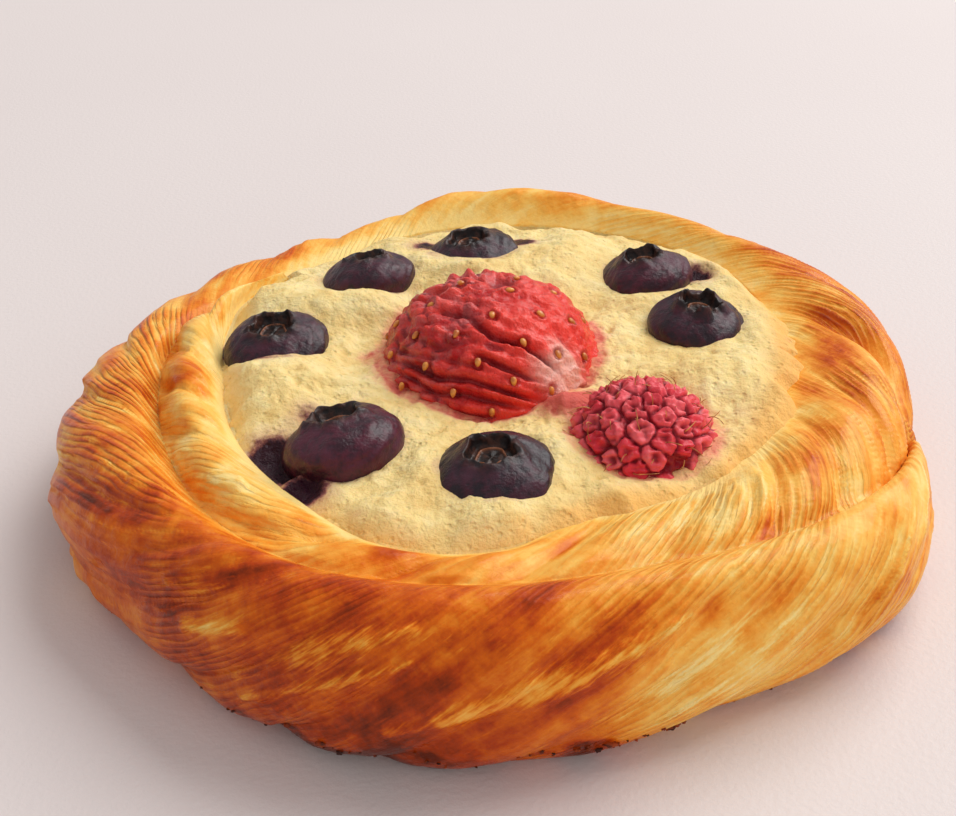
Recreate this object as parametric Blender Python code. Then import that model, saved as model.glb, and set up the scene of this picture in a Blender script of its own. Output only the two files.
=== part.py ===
"""Danish pastry: a twisted rope of laminated dough, coiled round a baked cream that holds berries.

The frame is +Z up, in metres, with the origin under the middle of the pastry on the surface it lies on.
The rope is followed by one angle, in degrees: 0 at its outer end, the tail on the right, growing
clockwise as seen from above, past 360 where the rope runs on inside its own first turn.
"""
import math

import bmesh
import bpy
from mathutils import Euler, Matrix, Vector

MM = 0.001
SHARP_EDGE = 50.0

# The coil
TAIL_AZIMUTH = -10.0
STEPS_PER_TURN = 96
ROPE_STEPS = 153
STEP = 360.0 / STEPS_PER_TURN
ROPE_END = ROPE_STEPS * STEP
INNER_START = 360.0
MEETING = ROPE_END - INNER_START
EXPOSED_COLUMNS = 14
WALL_ROWS = 3
PLAN_CENTRE = (-0.8 * MM, -0.25 * MM)

# Rope angle and size in millimetres, read off the photograph about every 30 degrees
OUTER_RADIUS = ((0, 49.4), (6, 50.8), (15, 52.0), (29, 53.6), (45, 51.9), (62, 51.0), (85, 53.0),
                (105, 52.6), (130, 51.4), (150, 53.2), (172, 53.4), (190, 52.4), (207, 50.8),
                (235, 48.4), (260, 52.3), (295, 50.0), (312, 51.3), (328, 53.2), (346, 51.8), (360, 49.4))
FOOT_INSET = ((0, 1.0), (20, 5.0), (42, 8.0), (70, 5.0), (340, 5.0), (360, 2.4))
RIM_HEIGHT = ((0, 8.0), (6, 12.2), (15, 14.6), (30, 16.2), (50, 17.6), (85, 18.2), (130, 17.8),
              (172, 16.8), (207, 16.6), (235, 16.4), (258, 19.4), (290, 18.5), (325, 18.0), (360, 18.0),
              (385, 17.9), (410, 17.4), (440, 16.6), (465, 16.8), (490, 18.0), (530, 18.6), (555, 18.0),
              (574, 16.6))
CREST_RADIUS = ((0, 48.6), (6, 49.2), (15, 49.6), (30, 48.4), (50, 46.6), (70, 45.4), (95, 46.2),
                (125, 45.4), (150, 43.6), (180, 43.8), (205, 44.4), (235, 45.2), (260, 47.2),
                (295, 46.0), (325, 45.0), (345, 44.4), (360, 43.2), (385, 41.0), (410, 39.0),
                (440, 39.6), (470, 39.8), (500, 37.0), (530, 36.8), (555, 38.8), (574, 39.2))
CREVICE_RADIUS = ((0, 47.0), (4, 48.5), (15, 48.2), (26, 47.0), (40, 44.9), (60, 42.6), (85, 42.6),
                  (105, 43.0), (125, 41.8), (145, 40.2), (165, 40.4), (185, 41.8), (200, 40.6))
CREVICE_HEIGHT = ((0, 0.0), (4, 8.0), (9, 10.6), (15, 12.2), (30, 13.8), (60, 14.9), (100, 15.0),
                  (140, 14.4), (180, 14.6), (200, 15.2))
CREVICE_CLOSING = 12.0
# Compass direction of a place on the rim and the radius where the dough goes under the cream
CREAM_EDGE = ((-180, 32.6), (-152, 32.8), (-129, 34.0), (-108, 37.0), (-90, 36.2), (-76, 32.2),
              (-50, 33.9), (-18, 33.4), (3, 35.0), (23, 38.2), (42, 41.4), (76, 43.0), (101, 42.4),
              (126, 38.6), (148, 38.8), (162, 36.0), (180, 32.6))
EDGE_HEIGHT = 15.6 * MM
BULGE_SHARE = 0.42
WELL_FLOOR = 6.0 * MM
WALL_LEAN = 0.6 * MM

# The twist: pleats that wind round the rope as it runs on
STRAND_WIDTH = 10.0 * MM
STRAND_TURN = 19.0
PLEAT_DEPTH = 1.1 * MM
PLEAT_ROUNDNESS = 0.8
PLEAT_MIDDLE = 0.62
SWAYS = ((0.30, 2.3, 0.0), (0.16, 5.1, 40.0))
FOLD_WIDTH = 1.9 * MM
FOLD_START = 30.0
FOLD_REACH = 20.0
FOLDS = ((346.0, 2.2 * MM), (49.0, 1.3 * MM), (118.0, 0.8 * MM), (470.0, 0.9 * MM))

# The cream
GAP = 0.4 * MM
SOCKET_SPARE = 1.03
SMALL_SOCKET_SIDES = 16
LARGE_SOCKET_SIDES = 24
SOCKET_LIFT = 3.0 * MM
CREAM_STEP = 2
CREAM_RINGS = 8
RING_SPACING = 1.15
EDGE_ROUNDING = 0.80
CREAM_LEVEL = 16.9 * MM
CREAM_MOUNDS = ((-26, -4, 7, 1.5), (-25, 14, 7, 1.3), (-16, 14, 5, 1.2), (-8, 26, 6, 1.0), (-2, 20, 5, 1.3),
                (8, 26, 8, 1.5), (21, 13, 5, 0.6), (28, 14, 5, 0.6), (27, -6, 8, 1.0), (7, -24, 6, 0.7),
                (-8, -24, 7, 0.7), (-1, -31, 5, 0.5), (-17, -26, 6, -0.4), (14, 6, 6, 0.5), (33, 3, 6, 0.5),
                (-2, -14, 6, -0.5))

# The berries: name, place of the middle, radius and height of the top, in millimetres, and lean in degrees
BLUEBERRIES = (("blueberry_front", -0.7, -24.6, 6.4, 20.4, (4, 2)),
               ("blueberry_front_left", -16.8, -17.9, 6.7, 20.7, (12, -14)),
               ("blueberry_left", -26.7, 4.8, 6.2, 20.6, (4, 6)),
               ("blueberry_back_left", -16.2, 22.6, 6.0, 20.8, (6, -12)),
               ("blueberry_back", -2.2, 29.6, 6.5, 20.4, (8, 2)),
               ("blueberry_right_back", 20.9, 20.8, 5.9, 20.7, (10, -4)),
               ("blueberry_right", 25.3, 6.8, 5.9, 20.7, (-4, 3)))
BLUEBERRY_SIDES = 20
BLUEBERRY_ROWS = 9
CROWN_ROW = 6
BLUEBERRY_FLATNESS = 0.85
CALYX_POINTS = 5
# Shares of the berry's radius
CALYX_INNER = 0.30
CALYX_POINT = 0.16
CALYX_LIP = 0.05
CRATER_LEVEL = 0.38
CRATER_DEPTH = 0.20

STRAWBERRY_PLACE = (-0.7, 2.0)
STRAWBERRY_RADIUS = 13.9 * MM
STRAWBERRY_TOP = 25.3 * MM
STRAWBERRY_BASE = 11.0 * MM
STRAWBERRY_AXIS = -32.0
STRAWBERRY_SIDES = 32
STRAWBERRY_ROWS = 13
DOME_FOOT = 0.15
DOME_FULLNESS = 0.85
FURROW_DEPTH = 0.5 * MM
FURROW_SPACING = 7.1 * MM
FURROW_CURVE = 0.030 / MM
FURROW_SWAY = 0.8
FURROW_SWAY_LENGTH = 5.0 * MM
SEED_COUNT = 22
SEED_SPREAD = 0.62
SEED_SIZE = (0.55 * MM, 0.8 * MM, 0.35 * MM)

RASPBERRY_PLACE = (15.8, -17.1)
RASPBERRY_RADIUS = 8.7 * MM
RASPBERRY_TOP = 22.6 * MM
RASPBERRY_BASE = 9.0 * MM
RASPBERRY_MIDDLE = 14.4 * MM
RASPBERRY_SIDES = 40
RASPBERRY_ROWS = 20
CUT_SHARE = 0.12
DRUPELETS = 46
DRUPELET_SPREAD = 1.55
DRUPELET_ANGLE = 0.29
DRUPELET_RELIEF = 1.0 * MM

GOLDEN_ANGLE = math.pi * (3.0 - math.sqrt(5.0))


def clear_scene():
    for old in list(bpy.data.objects):
        bpy.data.objects.remove(old)


def smoothstep(low, high, value):
    share = min(max((value - low) / (high - low), 0.0), 1.0)
    return share * share * (3.0 - 2.0 * share)


def along(keys, place):
    """A size in metres at one place, on a smooth curve through (place, millimetres) keys."""
    if place <= keys[0][0]:
        return keys[0][1] * MM
    if place >= keys[-1][0]:
        return keys[-1][1] * MM
    i = max(k for k in range(len(keys) - 1) if keys[k][0] <= place)
    span = keys[i + 1][0] - keys[i][0]
    share = (place - keys[i][0]) / span

    def slope(k):
        before, after = keys[max(k - 1, 0)], keys[min(k + 1, len(keys) - 1)]
        return (after[1] - before[1]) / (after[0] - before[0])

    squared, cubed = share ** 2, share ** 3
    value = (2 * cubed - 3 * squared + 1) * keys[i][1] + (3 * squared - 2 * cubed) * keys[i + 1][1]
    value += span * ((cubed - 2 * squared + share) * slope(i) + (cubed - squared) * slope(i + 1))
    return value * MM


def azimuth_of(turn):
    """Compass direction, from -180 to 180 degrees, of a place on the rope."""
    return (TAIL_AZIMUTH - turn + 180.0) % 360.0 - 180.0


def in_plan(turn, radius, height):
    """A point in space from a place along the rope, its radius and its height."""
    direction = math.radians(TAIL_AZIMUTH - turn)
    return Vector((radius * math.cos(direction), radius * math.sin(direction), height))


def cream_edge(turn):
    return along(CREAM_EDGE, azimuth_of(turn)), EDGE_HEIGHT


def crevice(turn):
    """Radius and height of the crevice between the outer turn and the inner one."""
    edge_radius, edge_height = cream_edge(turn)
    closing = smoothstep(CREVICE_RADIUS[-1][0] - CREVICE_CLOSING, MEETING, turn)
    radius = along(CREVICE_RADIUS, turn)
    height = along(CREVICE_HEIGHT, turn)
    return radius + (edge_radius - radius) * closing, height + (edge_height - height) * closing


def quarter_round(start, end, leaves_upright, count=16):
    """Points from start to just before end on a quarter of an ellipse."""
    points = []
    for k in range(count):
        angle = 0.5 * math.pi * k / count
        if leaves_upright:
            radius = end[0] + (start[0] - end[0]) * math.cos(angle)
            height = start[1] + (end[1] - start[1]) * math.sin(angle)
        else:
            radius = start[0] + (end[0] - start[0]) * math.sin(angle)
            height = end[1] + (start[1] - end[1]) * math.cos(angle)
        points.append((radius, height))
    return points


def section_outline(turn):
    """The rope's exposed side, as (radius, height) points from its outer foot to its inner foot."""
    crest = (along(CREST_RADIUS, turn), along(RIM_HEIGHT, turn))
    inner_foot = crevice(turn) if turn <= MEETING else cream_edge(turn)
    if turn <= INNER_START:
        outer = along(OUTER_RADIUS, turn)
        bulge = (outer, BULGE_SHARE * crest[1])
        points = quarter_round((outer - along(FOOT_INSET, turn), 0.0), bulge, False)
        points += quarter_round(bulge, crest, True)
    else:
        points = quarter_round(crevice(turn - INNER_START), crest, True)
    crest_index = len(points)
    points += quarter_round(crest, inner_foot, False)
    points.append(inner_foot)
    return points, crest_index


def twist_relief(turn, outward):
    """Height of the pleats at a place along the rope and a distance outward from its crest."""
    sway = sum(size * math.sin(math.radians(turn * pace + start)) for size, pace, start in SWAYS)
    strand = outward / STRAND_WIDTH - turn / STRAND_TURN + sway
    pleat = PLEAT_DEPTH * (abs(math.sin(math.pi * strand)) ** PLEAT_ROUNDNESS - PLEAT_MIDDLE)
    for crossing, depth in FOLDS:
        past = turn - crossing
        off = outward - past * STRAND_WIDTH / STRAND_TURN
        reach = smoothstep(-FOLD_START, -0.4 * FOLD_START, past)
        reach *= smoothstep(FOLD_REACH, 0.4 * FOLD_REACH, past)
        pleat -= depth * reach * math.exp(-((off / FOLD_WIDTH) ** 2))
    return pleat


def section(turn):
    """Evenly spaced points across the rope's exposed side, with the twist's pleats."""
    points, crest_index = section_outline(turn)
    lengths = [0.0]
    for before, after in zip(points, points[1:]):
        lengths.append(lengths[-1] + math.dist(before, after))
    total, crest_length = lengths[-1], lengths[crest_index]
    row = []
    k = 0
    for column in range(EXPOSED_COLUMNS + 1):
        want = total * column / EXPOSED_COLUMNS
        while k < len(points) - 2 and lengths[k + 1] < want:
            k += 1
        run = max(lengths[k + 1] - lengths[k], 1e-9)
        share = min(max((want - lengths[k]) / run, 0.0), 1.0)
        radius = points[k][0] + (points[k + 1][0] - points[k][0]) * share
        height = points[k][1] + (points[k + 1][1] - points[k][1]) * share
        lean = (points[k + 1][1] - points[k][1], points[k][0] - points[k + 1][0])
        size = max(math.hypot(*lean), 1e-9)
        part = want / total
        fade = smoothstep(0.0, 0.14, part) * smoothstep(1.0, 0.80, part)
        fade *= smoothstep(0.0, 20.0, turn) * smoothstep(ROPE_END, ROPE_END - 20.0, turn)
        lift = fade * twist_relief(turn, crest_length - want)
        row.append(in_plan(turn, radius + lift * lean[0] / size, height + lift * lean[1] / size))
    return row


def new_material(name, colour, roughness):
    material = bpy.data.materials.new(name)
    material.use_nodes = True
    shader = material.node_tree.nodes["Principled BSDF"]
    shader.inputs["Base Color"].default_value = (*colour, 1.0)
    shader.inputs["Roughness"].default_value = roughness
    shader.inputs["Metallic"].default_value = 0.0
    return material


def make_object(name, bm, material):
    """Makes an object of a mesh: merged, triangulated, facing out, and centred on the plan."""
    bmesh.ops.remove_doubles(bm, verts=bm.verts, dist=1e-6)
    bmesh.ops.dissolve_degenerate(bm, edges=bm.edges, dist=1e-6)
    bmesh.ops.triangulate(bm, faces=bm.faces)
    bmesh.ops.recalc_face_normals(bm, faces=bm.faces)
    bmesh.ops.translate(bm, verts=bm.verts, vec=(-PLAN_CENTRE[0], -PLAN_CENTRE[1], 0.0))
    mesh = bpy.data.meshes.new(name)
    bm.to_mesh(mesh)
    bm.free()
    mesh.materials.append(material)
    mesh.shade_smooth()
    mesh.set_sharp_from_angle(angle=math.radians(SHARP_EDGE))
    made = bpy.data.objects.new(name, mesh)
    bpy.context.scene.collection.objects.link(made)
    return made


def stitch_rows(bm, rows):
    for before, after in zip(rows, rows[1:]):
        for k in range(len(before) - 1):
            bm.faces.new((before[k], before[k + 1], after[k + 1], after[k]))


def well_wall(turn):
    """Points down the dough's side under the cream, from the cream's edge to the floor of the well."""
    radius, height = cream_edge(turn)
    points = []
    for k in range(WALL_ROWS + 1):
        share = k / WALL_ROWS
        points.append((radius - WALL_LEAN * share, height + (WELL_FLOOR - height) * share))
    return points


def make_dough(material):
    """The coiled rope and its base: a strip welded to its own next turn, a foot ring and a well."""
    bm = bmesh.new()
    rows = []
    for step in range(ROPE_STEPS + 1):
        turn = step * STEP
        if step in (0, ROPE_STEPS):
            radius, height = crevice(turn % INNER_START)
            row = [in_plan(turn, radius, height)] * (EXPOSED_COLUMNS + 1)
        else:
            row = section(turn)
        rows.append([bm.verts.new(point) for point in row])
    stitch_rows(bm, rows)
    bm.faces.new([row[0] for row in rows[:STEPS_PER_TURN]])
    walls = []
    for step in range(ROPE_STEPS - STEPS_PER_TURN, ROPE_STEPS + 1):
        turn = step * STEP
        walls.append([bm.verts.new(in_plan(turn, *point)) for point in well_wall(turn)])
    stitch_rows(bm, walls)
    bm.faces.new([wall[-1] for wall in walls[:-1]])
    return make_object("dough_spiral", bm, material)


def cream_height(x, y):
    """Height of the baked cream at a place in plan."""
    height = CREAM_LEVEL
    for middle_x, middle_y, width, rise in CREAM_MOUNDS:
        away = math.hypot(x / MM - middle_x, y / MM - middle_y) / width
        height += rise * MM * math.exp(-away * away)
    return height


def make_cream(material, sockets):
    """The cream fills the well to its rounded edge, with a socket for each berry."""
    bm = bmesh.new()
    rings = []
    for step in range(0, STEPS_PER_TURN, CREAM_STEP):
        turn = MEETING + step * STEP
        wall = [(radius - GAP, height) for radius, height in reversed(well_wall(turn))]
        wall[0] = (wall[0][0], WELL_FLOOR + GAP)
        points = [in_plan(turn, 0.0, WELL_FLOOR + GAP)]
        points += [in_plan(turn, *point) for point in wall]
        edge_radius = wall[-1][0]
        for ring in range(1, CREAM_RINGS + 1):
            share = 1.0 - (ring / CREAM_RINGS) ** RING_SPACING
            place = in_plan(turn, edge_radius * share, 0.0)
            inside = math.sqrt(smoothstep(1.0, EDGE_ROUNDING, share))
            place.z = EDGE_HEIGHT + (cream_height(place.x, place.y) - EDGE_HEIGHT) * inside
            points.append(place)
        rings.append([bm.verts.new(point) for point in points])
    stitch_rows(bm, rings + rings[:1])
    cream = make_object("cream_filling", bm, material)
    for socket in sockets:
        cut = cream.modifiers.new(socket.name, "BOOLEAN")
        cut.operation = "DIFFERENCE"
        cut.object = socket
    return cream


def turned_mesh(sides, rows, shape):
    """A round mesh from shape(row share, angle) points, closed at both ends."""
    bm = bmesh.new()
    grid = []
    for row in range(rows + 1):
        ring = [shape(row / rows, 2.0 * math.pi * k / sides) for k in range(sides)]
        verts = [bm.verts.new(point) for point in ring]
        grid.append(verts + verts[:1])
    stitch_rows(bm, grid)
    return bm


def blueberry_shape(radius):
    """Outline of a blueberry: an oblate ball with a five-pointed crown round a shallow crater."""
    half_height = radius * BLUEBERRY_FLATNESS
    crown_row = CROWN_ROW / BLUEBERRY_ROWS

    def shape(share, angle):
        point = (1.0 + math.cos(CALYX_POINTS * angle)) * 0.5
        crown_radius = radius * (CALYX_INNER + CALYX_POINT * point)
        if share <= crown_row:
            climb = share / crown_row
            polar = math.pi * (1.0 - climb) + math.asin(crown_radius / radius) * climb
            rise = CALYX_LIP * radius * point * smoothstep(0.85, 1.0, climb)
            return Vector((radius * math.sin(polar) * math.cos(angle),
                           radius * math.sin(polar) * math.sin(angle),
                           half_height * math.cos(polar) + rise))
        inward = (share - crown_row) / (1.0 - crown_row)
        level_radius = crown_radius + (CRATER_LEVEL * radius - crown_radius) * smoothstep(0.0, 0.6, inward)
        rim_height = half_height * math.cos(math.asin(level_radius / radius))
        depth = CRATER_DEPTH * radius * smoothstep(0.0, 0.7, inward)
        reach = crown_radius * (1.0 - inward)
        return Vector((reach * math.cos(angle), reach * math.sin(angle), rim_height - depth))

    return shape


def make_blueberry(name, x, y, radius_mm, top_mm, lean, material):
    radius = radius_mm * MM
    bm = turned_mesh(BLUEBERRY_SIDES, BLUEBERRY_ROWS, blueberry_shape(radius))
    turn = Euler((math.radians(lean[0]), math.radians(lean[1]), math.radians(-90.0)))
    middle = Vector((x * MM, y * MM, top_mm * MM - radius * BLUEBERRY_FLATNESS))
    bm.transform(Matrix.Translation(middle) @ turn.to_matrix().to_4x4())
    return make_object(name, bm, material)


def make_socket(name, place, radii, sides, base=0.0):
    """A hidden cutter a gap larger than its berry, with a flat underside where the berry has one."""
    bm = bmesh.new()
    bmesh.ops.create_uvsphere(bm, u_segments=sides, v_segments=sides // 2, radius=1.0)
    for vert in bm.verts:
        vert.co = Vector(place) + Vector([unit * size for unit, size in zip(vert.co, radii)])
        vert.co.z = max(vert.co.z, base)
    socket = make_object(name, bm, None)
    socket.hide_render = True
    socket.display_type = "WIRE"
    return socket


def dome_shape(radius, base, top):
    """A dome with an upright foot on a flat base."""

    def shape(share, angle):
        if share <= DOME_FOOT:
            reach, height = share / DOME_FOOT, base
        else:
            climb = (share - DOME_FOOT) / (1.0 - DOME_FOOT)
            bend = 0.5 * math.pi * climb
            reach = math.cos(bend) ** DOME_FULLNESS if climb < 1.0 else 0.0
            height = base + (top - base) * math.sin(bend) ** DOME_FULLNESS
        return Vector((radius * reach * math.cos(angle), radius * reach * math.sin(angle), height))

    return shape


def strawberry_furrows(point):
    """Depth of the shrunken skin's curved furrows at a place on the strawberry, seen from above."""
    direction = math.radians(STRAWBERRY_AXIS)
    lengthways = point.x * math.cos(direction) + point.y * math.sin(direction)
    crossways = point.y * math.cos(direction) - point.x * math.sin(direction)
    bend = crossways + FURROW_CURVE * lengthways * lengthways
    sway = FURROW_SWAY * math.sin(lengthways / FURROW_SWAY_LENGTH)
    return FURROW_DEPTH * math.sin(2.0 * math.pi * bend / FURROW_SPACING + sway)


def on_strawberry(angle, reach, shape):
    """Point on the skin at a bearing and a share of the way from the top to the foot."""
    return shape(1.0 - reach * (1.0 - DOME_FOOT), angle)


def make_strawberry(material):
    """Half a strawberry, skin up, with its seeds joined to the skin."""
    shape = dome_shape(STRAWBERRY_RADIUS, STRAWBERRY_BASE, STRAWBERRY_TOP)
    bm = turned_mesh(STRAWBERRY_SIDES, STRAWBERRY_ROWS, shape)
    for vert in bm.verts:
        upper = smoothstep(STRAWBERRY_BASE + 5 * MM, STRAWBERRY_BASE + 9 * MM, vert.co.z)
        vert.co.z += upper * strawberry_furrows(vert.co)
    place = Vector((STRAWBERRY_PLACE[0] * MM, STRAWBERRY_PLACE[1] * MM, 0.0))
    bmesh.ops.translate(bm, verts=bm.verts, vec=place)
    fruit = make_object("strawberry_half", bm, material)
    seeds = bpy.data.collections.new("strawberry_seeds")
    bpy.context.scene.collection.children.link(seeds)
    for number in range(SEED_COUNT):
        reach = SEED_SPREAD * math.sqrt((number + 0.5) / SEED_COUNT)
        angle = number * GOLDEN_ANGLE
        on_skin = on_strawberry(angle, reach, shape)
        beside = on_strawberry(angle, reach + 0.02, shape)
        seed_bm = bmesh.new()
        bmesh.ops.create_icosphere(seed_bm, subdivisions=1, radius=1.0)
        outward = Vector((on_skin.x, on_skin.y, (on_skin.z - STRAWBERRY_BASE) * 0.9)).normalized()
        down = (beside - on_skin).normalized()
        across = outward.cross(down).normalized()
        axes = Matrix((across * SEED_SIZE[0], down * SEED_SIZE[1], outward * SEED_SIZE[2])).transposed()
        lifted = on_skin + place
        lifted.z += strawberry_furrows(on_skin)
        seed_bm.transform(Matrix.Translation(lifted) @ axes.to_4x4())
        seed = make_object(f"seed_{number}", seed_bm, material)
        bpy.context.scene.collection.objects.unlink(seed)
        seeds.objects.link(seed)
    union = fruit.modifiers.new("seeds", "BOOLEAN")
    union.operation = "UNION"
    union.operand_type = "COLLECTION"
    union.collection = seeds
    apply_and_clear(fruit, seeds)
    return fruit


def apply_and_clear(made, collection):
    """Fixes a Boolean's result as the object's own mesh and removes what it used."""
    bpy.context.view_layer.update()
    evaluated = made.evaluated_get(bpy.context.evaluated_depsgraph_get())
    joined = bpy.data.meshes.new_from_object(evaluated)
    made.modifiers.clear()
    made.data = joined
    for used in list(collection.objects):
        bpy.data.objects.remove(used)
    bpy.data.collections.remove(collection)


def drupelet_centres():
    """Evenly spread directions over the raspberry, from its top down."""
    centres = []
    for number in range(DRUPELETS):
        upward = 1.0 - DRUPELET_SPREAD * (number + 0.5) / DRUPELETS
        level = math.sqrt(1.0 - upward * upward)
        angle = number * GOLDEN_ANGLE
        centres.append(Vector((level * math.cos(angle), level * math.sin(angle), upward)))
    return centres


def cut_ball_shape(radius, base, middle, top):
    """A ball on a flat cut, wide at its middle height."""
    cut_angle = math.acos((base - middle) / (top - middle))

    def shape(share, angle):
        if share <= CUT_SHARE:
            reach, height = math.sin(cut_angle) * share / CUT_SHARE, base
        else:
            polar = cut_angle * (1.0 - share) / (1.0 - CUT_SHARE)
            reach, height = math.sin(polar), middle + (top - middle) * math.cos(polar)
        return Vector((radius * reach * math.cos(angle), radius * reach * math.sin(angle), height))

    return shape


def make_raspberry(material):
    """A raspberry sunk in the cream: a ball cut flat below, covered with round drupelets."""
    core = RASPBERRY_RADIUS - DRUPELET_RELIEF
    top = RASPBERRY_TOP - DRUPELET_RELIEF
    shape = cut_ball_shape(core, RASPBERRY_BASE, RASPBERRY_MIDDLE, top)
    bm = turned_mesh(RASPBERRY_SIDES, RASPBERRY_ROWS, shape)
    centres = drupelet_centres()
    heart = Vector((0.0, 0.0, RASPBERRY_MIDDLE - 1.0 * MM))
    for vert in bm.verts:
        outward = (vert.co - heart).normalized()
        nearest = max(outward.dot(centre) for centre in centres)
        spread = math.acos(min(nearest, 1.0)) / DRUPELET_ANGLE
        upper = smoothstep(RASPBERRY_BASE + 1.0 * MM, RASPBERRY_BASE + 3.0 * MM, vert.co.z)
        vert.co += outward * DRUPELET_RELIEF * upper * math.sqrt(max(0.0, 1.0 - spread * spread))
    place = Vector((RASPBERRY_PLACE[0] * MM, RASPBERRY_PLACE[1] * MM, 0.0))
    bmesh.ops.translate(bm, verts=bm.verts, vec=place)
    return make_object("raspberry", bm, material)


def make_sockets():
    sockets = []
    for name, x, y, radius_mm, top_mm, _ in BLUEBERRIES:
        wide = radius_mm * MM + GAP
        deep = radius_mm * MM * BLUEBERRY_FLATNESS
        middle = (x * MM, y * MM, top_mm * MM - deep)
        sockets.append(make_socket("socket_" + name, middle, (wide, wide, wide), SMALL_SOCKET_SIDES))
    for name, place, radius, base, top in (
            ("socket_strawberry", STRAWBERRY_PLACE, STRAWBERRY_RADIUS, STRAWBERRY_BASE, STRAWBERRY_TOP),
            ("socket_raspberry", RASPBERRY_PLACE, RASPBERRY_RADIUS, RASPBERRY_BASE, RASPBERRY_TOP)):
        middle = (place[0] * MM, place[1] * MM, base + SOCKET_LIFT)
        wide = radius * SOCKET_SPARE + GAP
        sockets.append(make_socket(name, middle, (wide, wide, top - base), LARGE_SOCKET_SIDES, base - GAP))
    return sockets


def build():
    clear_scene()
    make_dough(new_material("baked_dough", (0.72, 0.36, 0.10), 0.42))
    make_cream(new_material("baked_cream", (0.90, 0.78, 0.48), 0.60), make_sockets())
    blueberry_skin = new_material("blueberry_skin", (0.035, 0.025, 0.055), 0.35)
    for name, x, y, radius_mm, top_mm, lean in BLUEBERRIES:
        make_blueberry(name, x, y, radius_mm, top_mm, lean, blueberry_skin)
    make_strawberry(new_material("strawberry_skin", (0.62, 0.05, 0.05), 0.35))
    make_raspberry(new_material("raspberry_flesh", (0.60, 0.04, 0.09), 0.40))


build()
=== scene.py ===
"""Danish pastry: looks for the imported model, in metres, +Z up."""
import math

import bmesh
import bpy
import numpy as np
from mathutils import Euler, Matrix, Vector


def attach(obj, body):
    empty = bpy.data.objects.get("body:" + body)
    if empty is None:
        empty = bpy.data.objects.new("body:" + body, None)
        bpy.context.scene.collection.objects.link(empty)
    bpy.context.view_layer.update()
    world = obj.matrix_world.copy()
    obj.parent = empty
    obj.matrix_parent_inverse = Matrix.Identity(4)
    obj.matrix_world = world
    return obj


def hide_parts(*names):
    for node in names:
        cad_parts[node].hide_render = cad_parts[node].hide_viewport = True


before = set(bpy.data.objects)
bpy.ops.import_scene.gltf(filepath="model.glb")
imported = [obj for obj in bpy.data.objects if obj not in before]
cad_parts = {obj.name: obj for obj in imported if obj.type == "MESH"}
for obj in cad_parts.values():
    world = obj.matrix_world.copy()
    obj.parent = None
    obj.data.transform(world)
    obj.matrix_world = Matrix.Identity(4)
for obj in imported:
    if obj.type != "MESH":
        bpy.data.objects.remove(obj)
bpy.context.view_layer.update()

# The rope of dough
# Laminated dough, rolled and cut into a strand, twisted, coiled about 1.6 turns and baked with an
# egg wash. It browns on the ridges of the twist and stays pale where the layers part.
MM = 0.001
PLAN_SHIFT = np.array((0.8, 0.25, 0.0)) * MM
TAIL_AZIMUTH = -10.0
STEPS_PER_TURN = 576
ROPE_STEPS = 918
STEP = 360.0 / STEPS_PER_TURN
ROPE_END = ROPE_STEPS * STEP
INNER_START = 360.0
MEETING = ROPE_END - INNER_START
COLUMNS = 96
MM_PER_DEGREE = 0.85
# Shares of the way round the rope and of the way outward in a step along a strand
STRAND_SLOPE = (0.85, 0.53)

# Rope angle and size in millimetres: the angle runs clockwise from the tail, seen from above
OUTER_RADIUS = ((0, 49.4), (6, 50.8), (15, 52.0), (29, 53.6), (45, 51.9), (62, 51.0), (85, 53.0),
                (105, 52.6), (130, 51.4), (150, 53.2), (172, 53.4), (190, 52.4), (207, 50.8),
                (235, 48.4), (260, 52.3), (295, 50.0), (312, 51.3), (328, 53.2), (346, 51.8), (360, 49.4))
FOOT_INSET = ((0, 1.0), (20, 5.0), (42, 8.0), (70, 5.0), (340, 5.0), (360, 2.4))
RIM_HEIGHT = ((0, 8.0), (6, 12.2), (15, 14.6), (30, 16.2), (50, 17.6), (85, 18.2), (130, 17.8),
              (172, 16.8), (207, 16.6), (235, 16.4), (258, 19.4), (290, 18.5), (325, 18.0), (360, 18.0),
              (385, 17.9), (410, 17.4), (440, 16.6), (465, 16.8), (490, 18.0), (530, 18.6), (555, 18.0),
              (574, 16.6))
CREST_RADIUS = ((0, 48.6), (6, 49.2), (15, 49.6), (30, 48.4), (50, 46.6), (70, 45.4), (95, 46.2),
                (125, 45.4), (150, 43.6), (180, 43.8), (205, 44.4), (235, 45.2), (260, 47.2),
                (295, 46.0), (325, 45.0), (345, 44.4), (360, 43.2), (385, 41.0), (410, 39.0),
                (440, 39.6), (470, 39.8), (500, 37.0), (530, 36.8), (555, 38.8), (574, 39.2))
CREVICE_RADIUS = ((0, 47.0), (4, 48.5), (15, 48.2), (26, 47.0), (40, 44.9), (60, 42.6), (85, 42.6),
                  (105, 43.0), (125, 41.8), (145, 40.2), (165, 40.4), (185, 41.8), (200, 40.6))
CREVICE_HEIGHT = ((0, 0.0), (4, 8.0), (9, 10.6), (15, 12.4), (30, 14.8), (60, 16.3), (100, 16.2),
                  (140, 15.2), (180, 15.0), (200, 15.4))
SOFTNESS = 0.6
CREVICE_CLOSING = 12.0
CREAM_EDGE = ((-180, 32.6), (-152, 32.8), (-129, 34.0), (-108, 37.0), (-90, 36.2), (-76, 32.2),
              (-50, 33.9), (-18, 33.4), (3, 35.0), (23, 38.2), (42, 41.4), (76, 43.0), (101, 42.4),
              (126, 38.6), (148, 38.8), (162, 36.0), (180, 32.6))
EDGE_HEIGHT = 15.6 * MM
BULGE_SHARE = 0.42
TUCK_BULGE = 2.4 * MM
TUCK_LENGTH = 5.0
WELL_FLOOR = 6.0 * MM
WALL_LEAN = 0.6 * MM

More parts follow.
